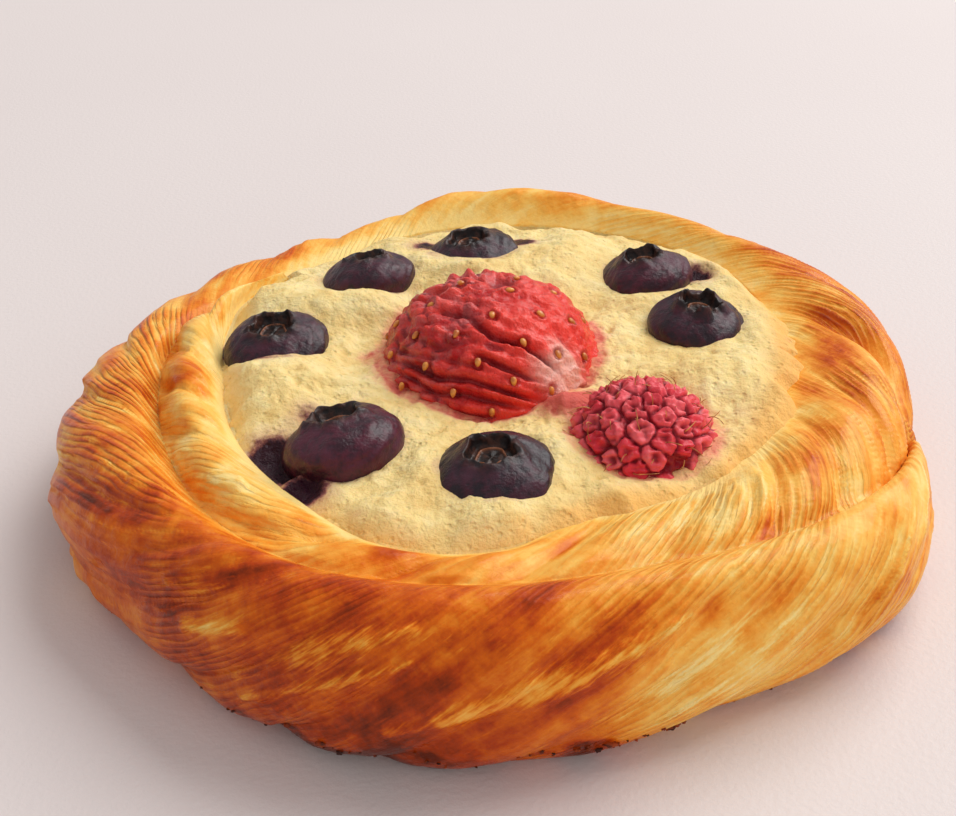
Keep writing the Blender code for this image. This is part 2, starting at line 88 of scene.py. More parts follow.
# The twist's pleats, as in the solid
STRAND_WIDTH = 10.0 * MM
STRAND_TURN = 19.0
STRAND_SPACING = 8.5
PLEAT_DEPTH = 1.1 * MM
PLEAT_ROUNDNESS = 0.8
PLEAT_MIDDLE = 0.62
SWAYS = ((0.30, 2.3, 0.0), (0.16, 5.1, 40.0))
FOLD_WIDTH = 1.9 * MM
FOLD_START = 30.0
FOLD_REACH = 20.0
FOLDS = ((346.0, 2.2 * MM), (49.0, 1.3 * MM), (118.0, 0.8 * MM), (470.0, 0.9 * MM))

# The layers that show between the pleats: width across and depth in millimetres, seed
LAYERS = ((3.3, 0.46, 5), (1.8, 0.30, 3))
# Rope angle and share of the layers' full depth there, in thousandths
LAYER_RELIEF = ((0, 700), (30, 800), (58, 700), (76, 330), (100, 380), (120, 800), (165, 1200),
                (200, 1000), (240, 600), (300, 550), (330, 900), (365, 1000), (390, 1000), (420, 700),
                (450, 400), (480, 450), (520, 520), (560, 350), (574, 100))

# How far the crust is browned, in thousandths: rope angle and browning, down the flank, on the
# crest and on the slope towards the middle
FLANK_BROWNING = ((0, 400), (20, 430), (35, 370), (50, 290), (60, 280), (67, 380), (76, 620), (90, 740),
                  (110, 740), (130, 700), (150, 620), (170, 560), (190, 520), (215, 480), (260, 470),
                  (300, 480), (330, 600), (350, 520), (365, 450), (385, 400), (405, 360), (430, 300),
                  (450, 430), (480, 350), (505, 380), (525, 480), (545, 460), (560, 330), (574, 260))
CREST_BROWNING = ((0, 320), (20, 300), (40, 320), (56, 360), (70, 500), (84, 660), (100, 710), (120, 640),
                  (140, 600), (160, 470), (185, 490), (212, 540), (235, 400), (260, 320), (283, 400),
                  (300, 390), (325, 560), (345, 520), (360, 450), (378, 480), (394, 320), (413, 210),
                  (428, 300), (440, 420), (455, 540), (463, 500), (471, 330), (484, 230), (500, 230),
                  (520, 360), (535, 300), (555, 180), (574, 200))
INNER_BROWNING = ((0, 280), (30, 300), (55, 360), (70, 330), (100, 360), (130, 300), (150, 360),
                  (175, 380), (205, 400), (240, 240), (280, 310), (310, 320), (340, 460), (358, 560),
                  (375, 320), (394, 130), (412, 120), (432, 420), (450, 280), (468, 260), (490, 150),
                  (520, 150), (574, 80))
FLANK_PLACE = 13.0 * MM
INNER_PLACE = -6.0 * MM
# Browner marks, then bands where a pale layer shows: rope angle, millimetres outward from the crest,
# half length along the strand and half width across it in millimetres, strength
MARKS = ((72, 8.0, 8.0, 2.6, 0.24), (92, 17.0, 8.0, 2.4, 0.16), (85, 8.4, 5.0, 1.5, 0.22),
         (83, 15.3, 5.0, 2.0, 0.28), (104, 12.0, 7.0, 2.0, 0.12), (78, 4.0, 5.0, 1.8, 0.14),
         (97, 4.0, 4.0, 1.4, 0.14), (57, 4.5, 2.2, 0.9, 0.34),
         (68, 8.0, 3.0, 0.8, 0.20), (36, 9.0, 3.0, 0.8, 0.30), (44, 11.0, 3.0, 0.7, 0.20),
         (131, 10.0, 6.0, 1.3, 0.24), (143, 7.0, 6.5, 1.5, 0.30), (120, 9.0, 5.0, 1.1, 0.20),
         (112, 2.5, 4.0, 1.2, 0.18), (160, 6.5, 4.0, 1.1, 0.24), (166, 2.0, 2.5, 1.0, 0.22),
         (283, 0.0, 3.0, 1.8, 0.26), (336, 4.0, 7.0, 1.0, 0.26), (343, 7.0, 6.0, 0.8, 0.22),
         (352, -3.5, 4.0, 1.5, 0.24), (393, 2.6, 3.5, 1.2, 0.16), (403, 4.6, 3.0, 1.0, 0.14),
         (523, 1.0, 3.2, 1.8, 0.36), (526, -1.0, 2.5, 1.0, 0.26), (533, 2.5, 3.0, 1.2, 0.18),
         (430, -2.4, 3.0, 0.9, 0.30), (452, 1.0, 4.0, 0.9, 0.20))
PALE_BANDS = ((59.5, 9.8, 7.0, 1.2, 0.8), (62, 14.6, 6.0, 0.7, 0.6), (109, 12.0, 3.5, 0.5, 0.6),
              (104, 8.6, 4.0, 0.5, 0.6), (50, 8.0, 7.0, 0.6, 0.6),
              (55, 12.0, 6.0, 0.5, 0.6), (44, 7.0, 6.0, 0.5, 0.5), (121, 9.0, 4.0, 0.4, 0.5),
              (115, 5.0, 3.5, 0.4, 0.5), (137, 12.0, 5.0, 0.4, 0.4), (156, 9.0, 6.0, 0.5, 0.5),
              (168, 7.0, 6.0, 0.5, 0.4), (30, 6.0, 8.0, 0.5, 0.5), (20, 3.0, 7.0, 0.5, 0.5),
              (400, 1.0, 6.0, 0.7, 0.6), (412, -1.5, 6.0, 0.8, 0.7), (386, 4.0, 6.0, 0.6, 0.4),
              (487, 0.5, 5.0, 0.9, 0.7), (500, 2.0, 4.0, 0.7, 0.5))
# Longer pale bands that cross the strands: rope angle and millimetres outward at both ends, half
# width in millimetres, strength
CROSS_BANDS = ((92.0, 13.8, 86.0, 12.0, 0.80, 0.50), (87.0, 12.3, 80.0, 10.3, 1.10, 0.72),
               (81.0, 10.5, 73.0, 8.6, 1.45, 0.82), (74.0, 8.8, 67.0, 6.6, 1.15, 0.74),
               (67.0, 6.6, 60.0, 4.6, 0.70, 0.50), (102.0, 7.9, 95.0, 5.4, 1.40, 0.74),
               (96.0, 5.8, 90.0, 3.9, 0.90, 0.52), (109.0, 14.4, 101.0, 10.8, 0.60, 0.56),
               (102.0, 11.3, 95.0, 8.6, 0.80, 0.62), (95.0, 8.6, 90.0, 7.0, 0.55, 0.48),
               (117.0, 9.2, 109.0, 7.0, 0.80, 0.58), (121.0, 6.4, 114.0, 4.6, 0.70, 0.50))
# How far the flakes of the pale bands stand up, and the crust's swellings: height, size across the
# strands and along them in millimetres, seed
FLAKE_RELIEF = 0.45
CRUST_LUMPS = ((0.22, 5.5, 9.0, 21), (0.12, 2.4, 4.0, 22))
BLISTER_HEIGHT = 0.26
# The rings of the flat base as shares of its radius, and how browned it and the well are
BASE_RINGS = (1.0, 0.97, 0.9, 0.7, 0.35, 0.0)
BASE_BROWNING = 0.62
WELL_BROWNING = 0.15


def smoothstep(low, high, value):
    share = np.clip((value - low) / (high - low), 0.0, 1.0)
    return share * share * (3.0 - 2.0 * share)


def along(keys, place):
    """Sizes in metres at places on a smooth curve through (place, millimetres) keys."""
    at = np.array([key[0] for key in keys], float)
    size = np.array([key[1] for key in keys], float)
    slope = np.empty(len(keys))
    slope[1:-1] = (size[2:] - size[:-2]) / (at[2:] - at[:-2])
    slope[0] = (size[1] - size[0]) / (at[1] - at[0])
    slope[-1] = (size[-1] - size[-2]) / (at[-1] - at[-2])
    place = np.clip(place, at[0], at[-1])
    i = np.clip(np.searchsorted(at, place, side="right") - 1, 0, len(at) - 2)
    span = at[i + 1] - at[i]
    share = (place - at[i]) / span
    squared, cubed = share ** 2, share ** 3
    value = (2 * cubed - 3 * squared + 1) * size[i] + (3 * squared - 2 * cubed) * size[i + 1]
    value += span * ((cubed - 2 * squared + share) * slope[i] + (cubed - squared) * slope[i + 1])
    return value * MM


def lattice_noise(x, y, seed):
    """Smooth random heights from -1 to 1 over a plane, one for each cell corner."""
    table = np.random.RandomState(seed).uniform(-1.0, 1.0, (256, 256))
    cell_x, cell_y = np.floor(x).astype(int), np.floor(y).astype(int)
    part_x, part_y = x - cell_x, y - cell_y
    part_x = part_x * part_x * (3.0 - 2.0 * part_x)
    part_y = part_y * part_y * (3.0 - 2.0 * part_y)

    def corner(step_x, step_y):
        return table[(cell_x + step_x) % 256, (cell_y + step_y) % 256]

    low = corner(0, 0) * (1.0 - part_x) + corner(1, 0) * part_x
    high = corner(0, 1) * (1.0 - part_x) + corner(1, 1) * part_x
    return low * (1.0 - part_y) + high * part_y


def cream_edge(turn):
    azimuth = (TAIL_AZIMUTH - turn + 180.0) % 360.0 - 180.0
    return along(CREAM_EDGE, azimuth), EDGE_HEIGHT


def crevice(turn):
    """Radius and height of the crevice between the outer turn and the inner one."""
    edge_radius, edge_height = cream_edge(turn)
    closing = smoothstep(CREVICE_RADIUS[-1][0] - CREVICE_CLOSING, MEETING, turn)
    radius = along(CREVICE_RADIUS, turn)
    height = along(CREVICE_HEIGHT, turn)
    return radius + (edge_radius - radius) * closing, height + (edge_height - height) * closing


def quarter_round(start, end, leaves_upright, softness=0.0, count=40):
    """Points from start to just before end on a quarter of an ellipse, or nearer to a soft slope."""
    share = np.arange(count) / count
    angle = 0.5 * math.pi * share
    if leaves_upright:
        radius = end[0] + (start[0] - end[0]) * np.cos(angle)
        height = start[1] + (end[1] - start[1]) * np.sin(angle)
    else:
        radius = start[0] + (end[0] - start[0]) * np.sin(angle)
        height = end[1] + (start[1] - end[1]) * np.cos(angle)
    soft_radius = start[0] + (end[0] - start[0]) * share
    soft_height = start[1] + (end[1] - start[1]) * (0.5 - 0.5 * np.cos(math.pi * share))
    radius = radius + (soft_radius - radius) * softness
    height = height + (soft_height - height) * softness
    return np.stack([radius, height], 1)


def section_outline(turn):
    """The rope's exposed side, from its outer foot to its inner foot, and the crest's place in it."""
    crest = (along(CREST_RADIUS, turn), along(RIM_HEIGHT, turn))
    inner_foot = crevice(turn) if turn <= MEETING else cream_edge(turn)
    if turn <= INNER_START:
        outer = along(OUTER_RADIUS, turn)
        bulge = (outer, BULGE_SHARE * crest[1])
        rounds = [quarter_round((outer - along(FOOT_INSET, turn), 0.0), bulge, False)]
    else:
        start = crevice(turn - INNER_START)
        over = TUCK_BULGE * smoothstep(INNER_START + TUCK_LENGTH, INNER_START, turn)
        bulge = (start[0] + over, max(start[1], BULGE_SHARE * crest[1] * (over > 0.0)))
        rounds = [quarter_round(start, bulge, False)] if over > 0.0 else []
    tucked = smoothstep(INNER_START, INNER_START + 30.0, turn)
    rounds.append(quarter_round(bulge, crest, True, SOFTNESS * tucked))
    crest_index = sum(len(points) for points in rounds)
    opening = smoothstep(12.0, 40.0, turn)
    rounds += [quarter_round(crest, inner_foot, False, SOFTNESS * opening), np.array([inner_foot])]
    return np.concatenate(rounds), crest_index


def strand_place(turn, outward):
    """Which strand of the twist a point lies on, counted across the pleats."""
    sway = sum(size * np.sin(np.radians(turn * pace + start)) for size, pace, start in SWAYS)
    return outward / STRAND_WIDTH - turn / STRAND_TURN + sway


def twist_relief(turn, outward):
    """Height of the pleats at a place along the rope and a distance outward from its crest."""
    strand = strand_place(turn, outward)
    pleat = PLEAT_DEPTH * (np.abs(np.sin(np.pi * strand)) ** PLEAT_ROUNDNESS - PLEAT_MIDDLE)
    for crossing, depth in FOLDS:
        past = turn - crossing
        off = outward - past * STRAND_WIDTH / STRAND_TURN
        reach = smoothstep(-FOLD_START, -0.4 * FOLD_START, past)
        reach = reach * smoothstep(FOLD_REACH, 0.4 * FOLD_REACH, past)
        pleat = pleat - depth * reach * np.exp(-((off / FOLD_WIDTH) ** 2))
    return pleat


def grain(turn, outward):
    """Millimetres across the strands and along them."""
    across = strand_place(turn, outward) * STRAND_SPACING
    length = STRAND_SLOPE[0] * MM_PER_DEGREE * turn + STRAND_SLOPE[1] * outward / MM
    return across, length


def layer_relief(across, length):
    """Height of the parted layers in millimetres, and how far the pale inside of a layer shows."""
    height = np.zeros_like(across)
    opened = np.zeros_like(across)
    for width, depth, seed in LAYERS:
        wavy = across + 0.7 * width * lattice_noise(length / 20.0, across / 9.0, seed)
        wavy = wavy + 0.16 * width * lattice_noise(length / 7.0, across / 3.5, seed + 1)
        layer = wavy / width
        number = np.floor(layer)
        rise = layer - number
        own = 0.60 + 0.80 * lattice_noise(length / 13.0, number * 7.3 + 0.5, seed + 2)
        own = np.clip(own, 0.05, 1.3)
        lip = smoothstep(1.0, 0.68, rise)
        height += depth * (own * (0.25 + 1.1 * rise) * lip * smoothstep(0.0, 0.12, rise) - 0.4)
        opened = np.maximum(opened, own * depth / 0.5 * (1.0 - lip * smoothstep(0.0, 0.30, rise)))
    return height, opened


def strand_spot(turn, outward, spot):
    """A soft long mark that follows the strands, 1 in its middle."""
    place, out, half_length, half_width, strength = spot
    across, length = grain(turn, outward)
    mid_across, mid_length = grain(np.float64(place), np.float64(out * MM))
    off = ((length - mid_length) / half_length) ** 2 + ((across - mid_across) / half_width) ** 2
    return strength * np.exp(-off)


def cross_band(turn, outward, band):
    """A soft long mark from one place on the rope to another, 1 along its middle."""
    start_turn, start_out, end_turn, end_out, half_width, strength = band
    length, across = (turn - start_turn) * MM_PER_DEGREE, outward / MM - start_out
    whole_length, whole_across = (end_turn - start_turn) * MM_PER_DEGREE, end_out - start_out
    whole = math.hypot(whole_length, whole_across)
    share = np.clip((length * whole_length + across * whole_across) / whole ** 2, 0.0, 1.0)
    off = np.hypot(length - share * whole_length, across - share * whole_across) / half_width
    return strength * np.exp(-off * off)


def browning_at(turn, outward):
    flank = along(FLANK_BROWNING, turn)
    crest = along(CREST_BROWNING, turn)
    inner = along(INNER_BROWNING, turn)
    reach = FLANK_PLACE * np.where(turn > INNER_START, 0.4, 1.0)
    browning = crest + (flank - crest) * smoothstep(0.0, 1.0, outward / reach)
    browning = browning + (inner - browning) * smoothstep(0.0, 1.0, outward / INNER_PLACE)
    for spot in MARKS:
        browning = browning + strand_spot(turn, outward, spot)
    return browning


def crust_lumps(turn, outward, across, length):
    """The crust's swellings and small blisters, in millimetres."""
    lumps = sum(height * lattice_noise(across / wide, length / long, seed)
                for height, wide, long, seed in CRUST_LUMPS)
    blister = np.maximum(lattice_noise(turn / 1.9, outward / (1.6 * MM), 23), 0.0)
    blistered = smoothstep(-0.3, 0.4, lattice_noise(turn / 13.0, outward / (9.0 * MM), 24))
    return lumps + BLISTER_HEIGHT * blister ** 2 * blistered


def pale_bands(turn, outward):
    bands = np.zeros(turn.shape)
    for band in PALE_BANDS:
        bands = np.maximum(bands, strand_spot(turn, outward, band))
    for band in CROSS_BANDS:
        bands = np.maximum(bands, cross_band(turn, outward, band))
    return bands


def scorched_foot(turn, outward, part):
    """How far the rope's front foot is burnt, where it lay on the hot sheet."""
    ragged = 0.05 * lattice_noise(turn / 2.6, outward / (2.0 * MM), 33)
    scorched = smoothstep(0.235, 0.185, part + ragged) + 0.25 * smoothstep(0.40, 0.22, part + ragged)
    scorched = scorched * smoothstep(-10.0, 40.0, turn) * smoothstep(125.0, 85.0, turn)
    return scorched * (0.55 + 0.6 * lattice_noise(turn / 4.5, outward / (4.0 * MM), 34))


def rope_grid():
    """Points over the rope, with their browning, opened layers and grain."""
    count = COLUMNS + 1
    turn = np.repeat((np.arange(ROPE_STEPS + 1) * STEP)[:, None], count, 1)
    radius, height = np.empty(turn.shape), np.empty(turn.shape)
    outward, part = np.empty(turn.shape), np.empty(turn.shape)
    for row in range(ROPE_STEPS + 1):
        outline, crest_index = section_outline(turn[row, 0])
        steps = np.hypot(*np.diff(outline, axis=0).T)
        lengths = np.concatenate(([0.0], np.cumsum(steps)))
        want = np.linspace(0.0, lengths[-1], count)
        radius[row] = np.interp(want, lengths, outline[:, 0])
        height[row] = np.interp(want, lengths, outline[:, 1])
        outward[row] = lengths[crest_index] - want
        part[row] = want / lengths[-1]
    rise, run = np.gradient(height, axis=1), np.gradient(radius, axis=1)
    lean = np.maximum(np.hypot(rise, run), 1e-9)
    ends = smoothstep(0.0, 20.0, turn) * smoothstep(ROPE_END, ROPE_END - 20.0, turn)
    between_feet = smoothstep(0.0, 0.14, part) * smoothstep(1.0, 0.62, part)
    lift = between_feet * ends * twist_relief(turn, outward)
    across, length = grain(turn, outward)
    layers, opened = layer_relief(across, length)
    lumps = crust_lumps(turn, outward, across, length)
    fine = smoothstep(0.0, 0.05, part) * smoothstep(1.0, 0.66, part)
    fine = fine * (0.75 + 0.75 * lattice_noise(across / 7.0, length / 12.0, 25))
    fine = fine * smoothstep(0.0, 6.0, turn) * smoothstep(ROPE_END, ROPE_END - 10.0, turn)
    strength = along(LAYER_RELIEF, turn)
    bands = pale_bands(turn, outward)
    torn = 0.25 * lattice_noise(length / 3.0, across / 1.5, 26)
    flakes = FLAKE_RELIEF * smoothstep(0.25, 0.60, bands + torn)
    lift = lift + fine * MM * (strength * layers + lumps + flakes)
    radius = radius + lift * rise / lean
    height = np.maximum(height - lift * run / lean, 0.0)
    for row, place in ((0, crevice(0.0)), (ROPE_STEPS, crevice(ROPE_END - INNER_START))):
        radius[row], height[row] = place
    direction = np.radians(TAIL_AZIMUTH - turn)
    points = np.stack([radius * np.cos(direction), radius * np.sin(direction), height], 2)
    scorched = scorched_foot(turn, outward, part)
    creamy = 0.22 * smoothstep(0.78, 0.98, part) * (turn > MEETING)
    browning = browning_at(turn, outward) - 0.20 * strength * opened + 0.40 * scorched - creamy
    patchy = smoothstep(0.2, 0.6, lattice_noise(turn / 15.0, outward / (8.0 * MM), 31) + 0.5)
    pale = np.maximum(0.35 * strength * opened * patchy, bands)
    layered = strength * smoothstep(-0.5, 0.5, lattice_noise(turn / 11.0, outward / (7.0 * MM), 35))
    return points, (browning, pale, layered), np.stack([across, length], 2)


def new_piece(name, mesh):
    piece = bpy.data.objects.new(name, mesh)
    bpy.context.scene.collection.objects.link(piece)
    return piece


def write_values(mesh, **values):
    """Keeps a number for each vertex, for the materials to read."""
    for name, numbers in values.items():
        layer = mesh.attributes.new(name, "FLOAT", "POINT")
        layer.data.foreach_set("value", np.asarray(numbers).astype(np.float32))


def make_rope(points, tones, weave):
    """The rope's strip, its flat base and the wall of its well, merged into one closed mesh."""
    rows, columns = points.shape[:2]
    verts = [points.reshape(-1, 3)]
    values = [np.stack([tone.ravel() for tone in tones], 1)]
    uvs = [weave.reshape(-1, 2) * 0.1]
    faces = []

    def quads(grid):
        block = np.stack([grid[:-1, :-1], grid[:-1, 1:], grid[1:, 1:], grid[1:, :-1]], 2)
        faces.extend(block.reshape(-1, 4).tolist())

    def add_grid(block, browning):
        start = sum(len(part) for part in verts)
        flat = block.reshape(-1, 3)
        verts.append(flat)
        values.append(np.tile((browning, 0.0, 0.0), (len(flat), 1)))
        uvs.append(flat[:, :2] / MM * 0.1)
        quads(start + np.arange(len(flat)).reshape(block.shape[:2]))

    quads(np.arange(rows * columns).reshape(rows, columns))
    foot = np.concatenate([points[:STEPS_PER_TURN, 0], points[:1, 0]])
    add_grid(foot[:, None, :] * np.array(BASE_RINGS)[None, :, None], BASE_BROWNING)
    turn = MEETING + np.arange(STEPS_PER_TURN + 1) * STEP
    direction = np.radians(TAIL_AZIMUTH - turn)
    edge_radius, edge_height = cream_edge(turn)
    rings = []
    for share in np.linspace(0.0, 1.0, 4):
        radius = edge_radius - WALL_LEAN * share
        height = np.full_like(radius, edge_height + (WELL_FLOOR - edge_height) * share)
        rings.append(np.stack([radius * np.cos(direction), radius * np.sin(direction), height], 1))
    rings.append(np.tile((0.0, 0.0, WELL_FLOOR), (len(turn), 1)))
    add_grid(np.stack(rings, 1), WELL_BROWNING)

    mesh = bpy.data.meshes.new("dough_rope")
    mesh.from_pydata((np.concatenate(verts) + PLAN_SHIFT).tolist(), [], faces)
    browning, pale, layered = np.concatenate(values).T
    write_values(mesh, browning=browning, pale=pale, layered=layered)
    grid_uv = np.concatenate(uvs)[np.array([loop.vertex_index for loop in mesh.loops])]
    mesh.uv_layers.new(name="strand").data.foreach_set("uv", grid_uv.ravel().astype(np.float32))
    return new_piece("dough_rope", mesh)


def tidy_mesh(piece):
    """Merges a piece's doubles, faces it outwards and smooths it."""
    bpy.ops.object.select_all(action="DESELECT")
    bpy.context.view_layer.objects.active = piece
    piece.select_set(True)
    bpy.ops.object.mode_set(mode="EDIT")
    bpy.ops.mesh.select_all(action="SELECT")
    bpy.ops.mesh.remove_doubles(threshold=0.000002)
    bpy.ops.mesh.dissolve_degenerate(threshold=0.000001)
    bpy.ops.mesh.normals_make_consistent(inside=False)
    bpy.ops.object.mode_set(mode="OBJECT")
    bpy.ops.object.shade_smooth()


class Wire:
    """One output of a material's nodes. Sums, differences and products of wires add Math nodes."""

    def __init__(self, finish, socket):
        self.finish = finish
        self.socket = socket

    def combine(self, operation, first, second):
        return self.finish.node("ShaderNodeMath", {"operation": operation}, {0: first, 1: second})

    def __add__(self, other):
        return self.combine("ADD", self, other)

    def __sub__(self, other):
        return self.combine("SUBTRACT", self, other)

    def __rsub__(self, other):
        return self.combine("SUBTRACT", other, self)

    def __mul__(self, other):
        return self.combine("MULTIPLY", self, other)

    __radd__ = __add__
    __rmul__ = __mul__


class Finish:
    """A procedural material, built from nodes."""

    def __init__(self, name, **constants):
        self.material = bpy.data.materials.new(name)
        self.material.use_nodes = True
        self.tree = self.material.node_tree
        self.shader = self.tree.nodes["Principled BSDF"]
        for socket, value in constants.items():
            self.shader.inputs[socket.replace("_", " ")].default_value = value

    def node(self, kind, settings, values, output=0):
        """Any node: its settings are set first, then the values or links of its sockets."""
        made = self.tree.nodes.new(kind)
        for name, setting in settings.items():
            if name == "stops":
                ramp = made.color_ramp
                while len(ramp.elements) < len(setting):
                    ramp.elements.new(1.0)
                for element, (place, colour) in zip(ramp.elements, setting):
                    element.position = place
                    element.color = (*colour, 1.0)
            else:
                setattr(made, name, setting)
        for key, value in values.items():
            if isinstance(value, Wire):
                self.tree.links.new(value.socket, made.inputs[key])
            else:
                made.inputs[key].default_value = value
        return Wire(self, made.outputs[output])

    def blend(self, share, first, second):
        """A colour part way between two."""
        first, second = [(*c, 1.0) if isinstance(c, tuple) else c for c in (first, second)]
        settings = {"data_type": "RGBA"}
        return self.node("ShaderNodeMix", settings, {0: share, 6: first, 7: second}, 2)

    def between(self, value, low, high):
        """0 where a value is below low, 1 above high, soft in between."""
        settings = {"interpolation_type": "SMOOTHSTEP"}
        values = {"Value": value, "From Min": low, "From Max": high}
        return self.node("ShaderNodeMapRange", settings, values)

    def stretched(self, place, scale):
        return self.node("ShaderNodeMapping", {}, {"Vector": place, "Scale": scale})

    def noise(self, place, scale, detail=3.0, rough=0.55):
        values = {"Vector": place, "Scale": scale, "Detail": detail, "Roughness": rough}
        return self.node("ShaderNodeTexNoise", {}, values)

    def cells(self, place, scale):
        return self.node("ShaderNodeTexVoronoi", {}, {"Vector": place, "Scale": scale})

    def ramp(self, value, stops):
        return self.node("ShaderNodeValToRGB", {"stops": stops}, {"Fac": value})

    def attribute(self, name):
        return self.node("ShaderNodeAttribute", {"attribute_name": name}, {}, "Fac")

    def object_place(self):
        return self.node("ShaderNodeTexCoord", {}, {}, "Object")

    def bump(self, height, distance, strength=1.0):
        values = {"Height": height, "Distance": distance, "Strength": strength}
        return self.node("ShaderNodeBump", {}, values)

    def feed(self, **wires):
        for socket, wire in wires.items():
            self.tree.links.new(wire.socket, self.shader.inputs[socket.replace("_", " ")])


def finish_piece(piece, finish, slot, *nodes):
    """Gives a piece its material and its body, and hides the solids that it stands for."""
    piece.data.materials.clear()
    piece.data.materials.append(finish.material)
    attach(piece, "root")
    if nodes:
        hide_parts(*nodes)


def baked_dough():
    finish = Finish("baked_dough", Coat_Weight=0.16, Coat_Roughness=0.13, Subsurface_Weight=0.06,
                    Subsurface_Radius=(0.004, 0.0018, 0.0008), Specular_IOR_Level=0.10)
    weave = finish.node("ShaderNodeUVMap", {"uv_map": "strand"}, {})
    place = finish.object_place()
    broad = finish.noise(finish.stretched(weave, (2.6, 0.8, 1.0)), 1.0, 4.0)
    streak = finish.noise(finish.stretched(weave, (13.0, 1.6, 1.0)), 1.0, 4.0)
    blotch = finish.noise(place, 105.0, 3.0)
    mottle = finish.noise(place, 330.0, 5.0, 0.62)
    speck = finish.noise(place, 1500.0, 3.0, 0.6)
    warp = finish.noise(finish.stretched(weave, (1.0, 0.4, 1.0)), 1.0, 3.0)
    across = finish.node("ShaderNodeSeparateXYZ", {}, {0: weave})
    line = finish.node("ShaderNodeMath", {"operation": "FRACT"}, {0: across * 13.0 + warp * 6.0})
    edge = finish.between(line, 1.0, 0.60) * line
    layered = finish.attribute("layered") * finish.between(streak, 0.30, 0.52)
    browning = finish.attribute("browning")
    pale = finish.attribute("pale")
    amount = browning + (broad - 0.5) * 0.70 + (blotch - 0.5) * 0.50 + (streak - 0.5) * 0.24
    amount = amount + (mottle - 0.5) * 0.50 + (speck - 0.5) * 0.14 + (edge - 0.2) * layered * 0.36
    flaky = finish.noise(finish.stretched(weave, (22.0, 3.2, 1.0)), 1.0, 4.0, 0.6)
    shows = finish.between(pale + (flaky - 0.5) * 1.9 + (mottle - 0.5) * 0.8, 0.16, 1.15)
    amount = amount - shows * 0.46
    colour = finish.ramp(amount, [(0.02, (0.99, 0.72, 0.26)), (0.20, (0.97, 0.56, 0.12)),
                                  (0.36, (0.93, 0.39, 0.050)), (0.50, (0.83, 0.25, 0.017)),
                                  (0.64, (0.68, 0.125, 0.004)), (0.80, (0.46, 0.050, 0.003)),
                                  (1.0, (0.15, 0.018, 0.003))])
    gloss = 0.44 - 0.14 * finish.between(amount, 0.3, 0.8) + (mottle - 0.5) * 0.4
    blisters = finish.between(finish.cells(place, 520.0), 0.62, 0.05) * finish.between(blotch, 0.44, 0.62)
    relief = edge * layered * 0.75 + streak * 0.35 + mottle * 0.55 + speck * 0.12 + blisters * 0.22
    finish.feed(Base_Color=colour, Roughness=gloss, Normal=finish.bump(relief, 0.00055, 0.9))
    return finish


rope_points, rope_tones, rope_weave = rope_grid()
rope = make_rope(rope_points, rope_tones, rope_weave)
tidy_mesh(rope)
finish_piece(rope, baked_dough(), "dough", "dough_spiral")

# The burnt crumbs
# Flakes and drips of dough that ran out under the foot and burnt on the baking sheet. They cling to
# the rope's lower edge, mostly in front.
CRUMB_COUNT = 90
CRUMB_TURNS = (12.0, 118.0)
CRUMB_COLUMNS = (15, 21)
CRUMB_SIZE = 0.14
CRUMB_SPREAD = 0.40


def add_crumb(bm, place, size, draw):
    """An uneven flake, longer along one side."""
    made = bmesh.ops.create_icosphere(bm, subdivisions=2, radius=1.0)
    stretch = Vector((draw.uniform(0.6, 1.6), draw.uniform(0.6, 1.2), draw.uniform(0.35, 0.8))) * size
    turn = Matrix.Rotation(draw.uniform(0.0, 2.0 * math.pi), 3, "Z")
    for vert in made["verts"]:
        uneven = 1.0 + draw.uniform(-0.30, 0.30)
        vert.co = place + turn @ Vector([part * scale * uneven for part, scale in zip(vert.co, stretch)])


def piece_from(name, bm):
    mesh = bpy.data.meshes.new(name)
    bm.to_mesh(mesh)
    bm.free()
    return new_piece(name, mesh)


def make_crumbs(points):
    draw = np.random.RandomState(91)
    bm = bmesh.new()
    for _ in range(CRUMB_COUNT):
        row = int(draw.uniform(*CRUMB_TURNS) / STEP)
        column = draw.randint(*CRUMB_COLUMNS)
        size = (CRUMB_SIZE + CRUMB_SPREAD * draw.uniform(0.0, 1.0) ** 3) * MM
        place = Vector(points[row, column])
        place.z = max(place.z, size)
        add_crumb(bm, place, size, draw)
    return piece_from("burnt_crumbs", bm)


def burnt_dough():
    finish = Finish("burnt_dough", Specular_IOR_Level=0.3)
    tone = finish.noise(finish.object_place(), 700.0)
    colour = finish.blend(finish.between(tone, 0.38, 0.62), (0.045, 0.010, 0.006), (0.36, 0.055, 0.008))
    finish.feed(Base_Color=colour, Roughness=0.45 + (tone - 0.5) * 0.3, Normal=finish.bump(tone, 0.0003))
    return finish


crumbs = make_crumbs(rope_points + PLAN_SHIFT)
tidy_mesh(crumbs)
finish_piece(crumbs, burnt_dough(), "dough")

# The cream
# A soft baked custard cream that rose between the berries, matt and finely pitted, toasted where it
# meets the dough and stained by juice round the berries. At each blueberry's edge a dark ring is
# part purple juice and part painted shade.
GAP = 0.4 * MM
CREAM_LEVEL = 16.9 * MM
# Where the cream has risen or sunk: place, reach and height in millimetres
CREAM_MOUNDS = ((-26, -4, 7, 1.5), (-25, 14, 7, 1.3), (-16, 14, 5, 1.2), (-8, 26, 6, 1.0),
                (-2, 20, 5, 1.3), (8, 26, 8, 1.5), (21, 13, 5, 0.6), (28, 14, 5, 0.6), (27, -6, 8, 1.0),
                (7, -24, 6, 0.7), (-8, -24, 7, 0.7), (-1, -31, 5, 0.5), (-17, -26, 6, -0.4),
                (14, 6, 6, 0.5), (33, 3, 6, 0.5), (-2, -14, 6, -0.5), (7.6, -11.4, 2.4, 1.3))
CREAM_SWELL = 1.8
RIM_DIP = 1.0 * MM
LAP_SHARE = 0.42
CREAM_SIDES = 504
CREAM_RINGS = 150
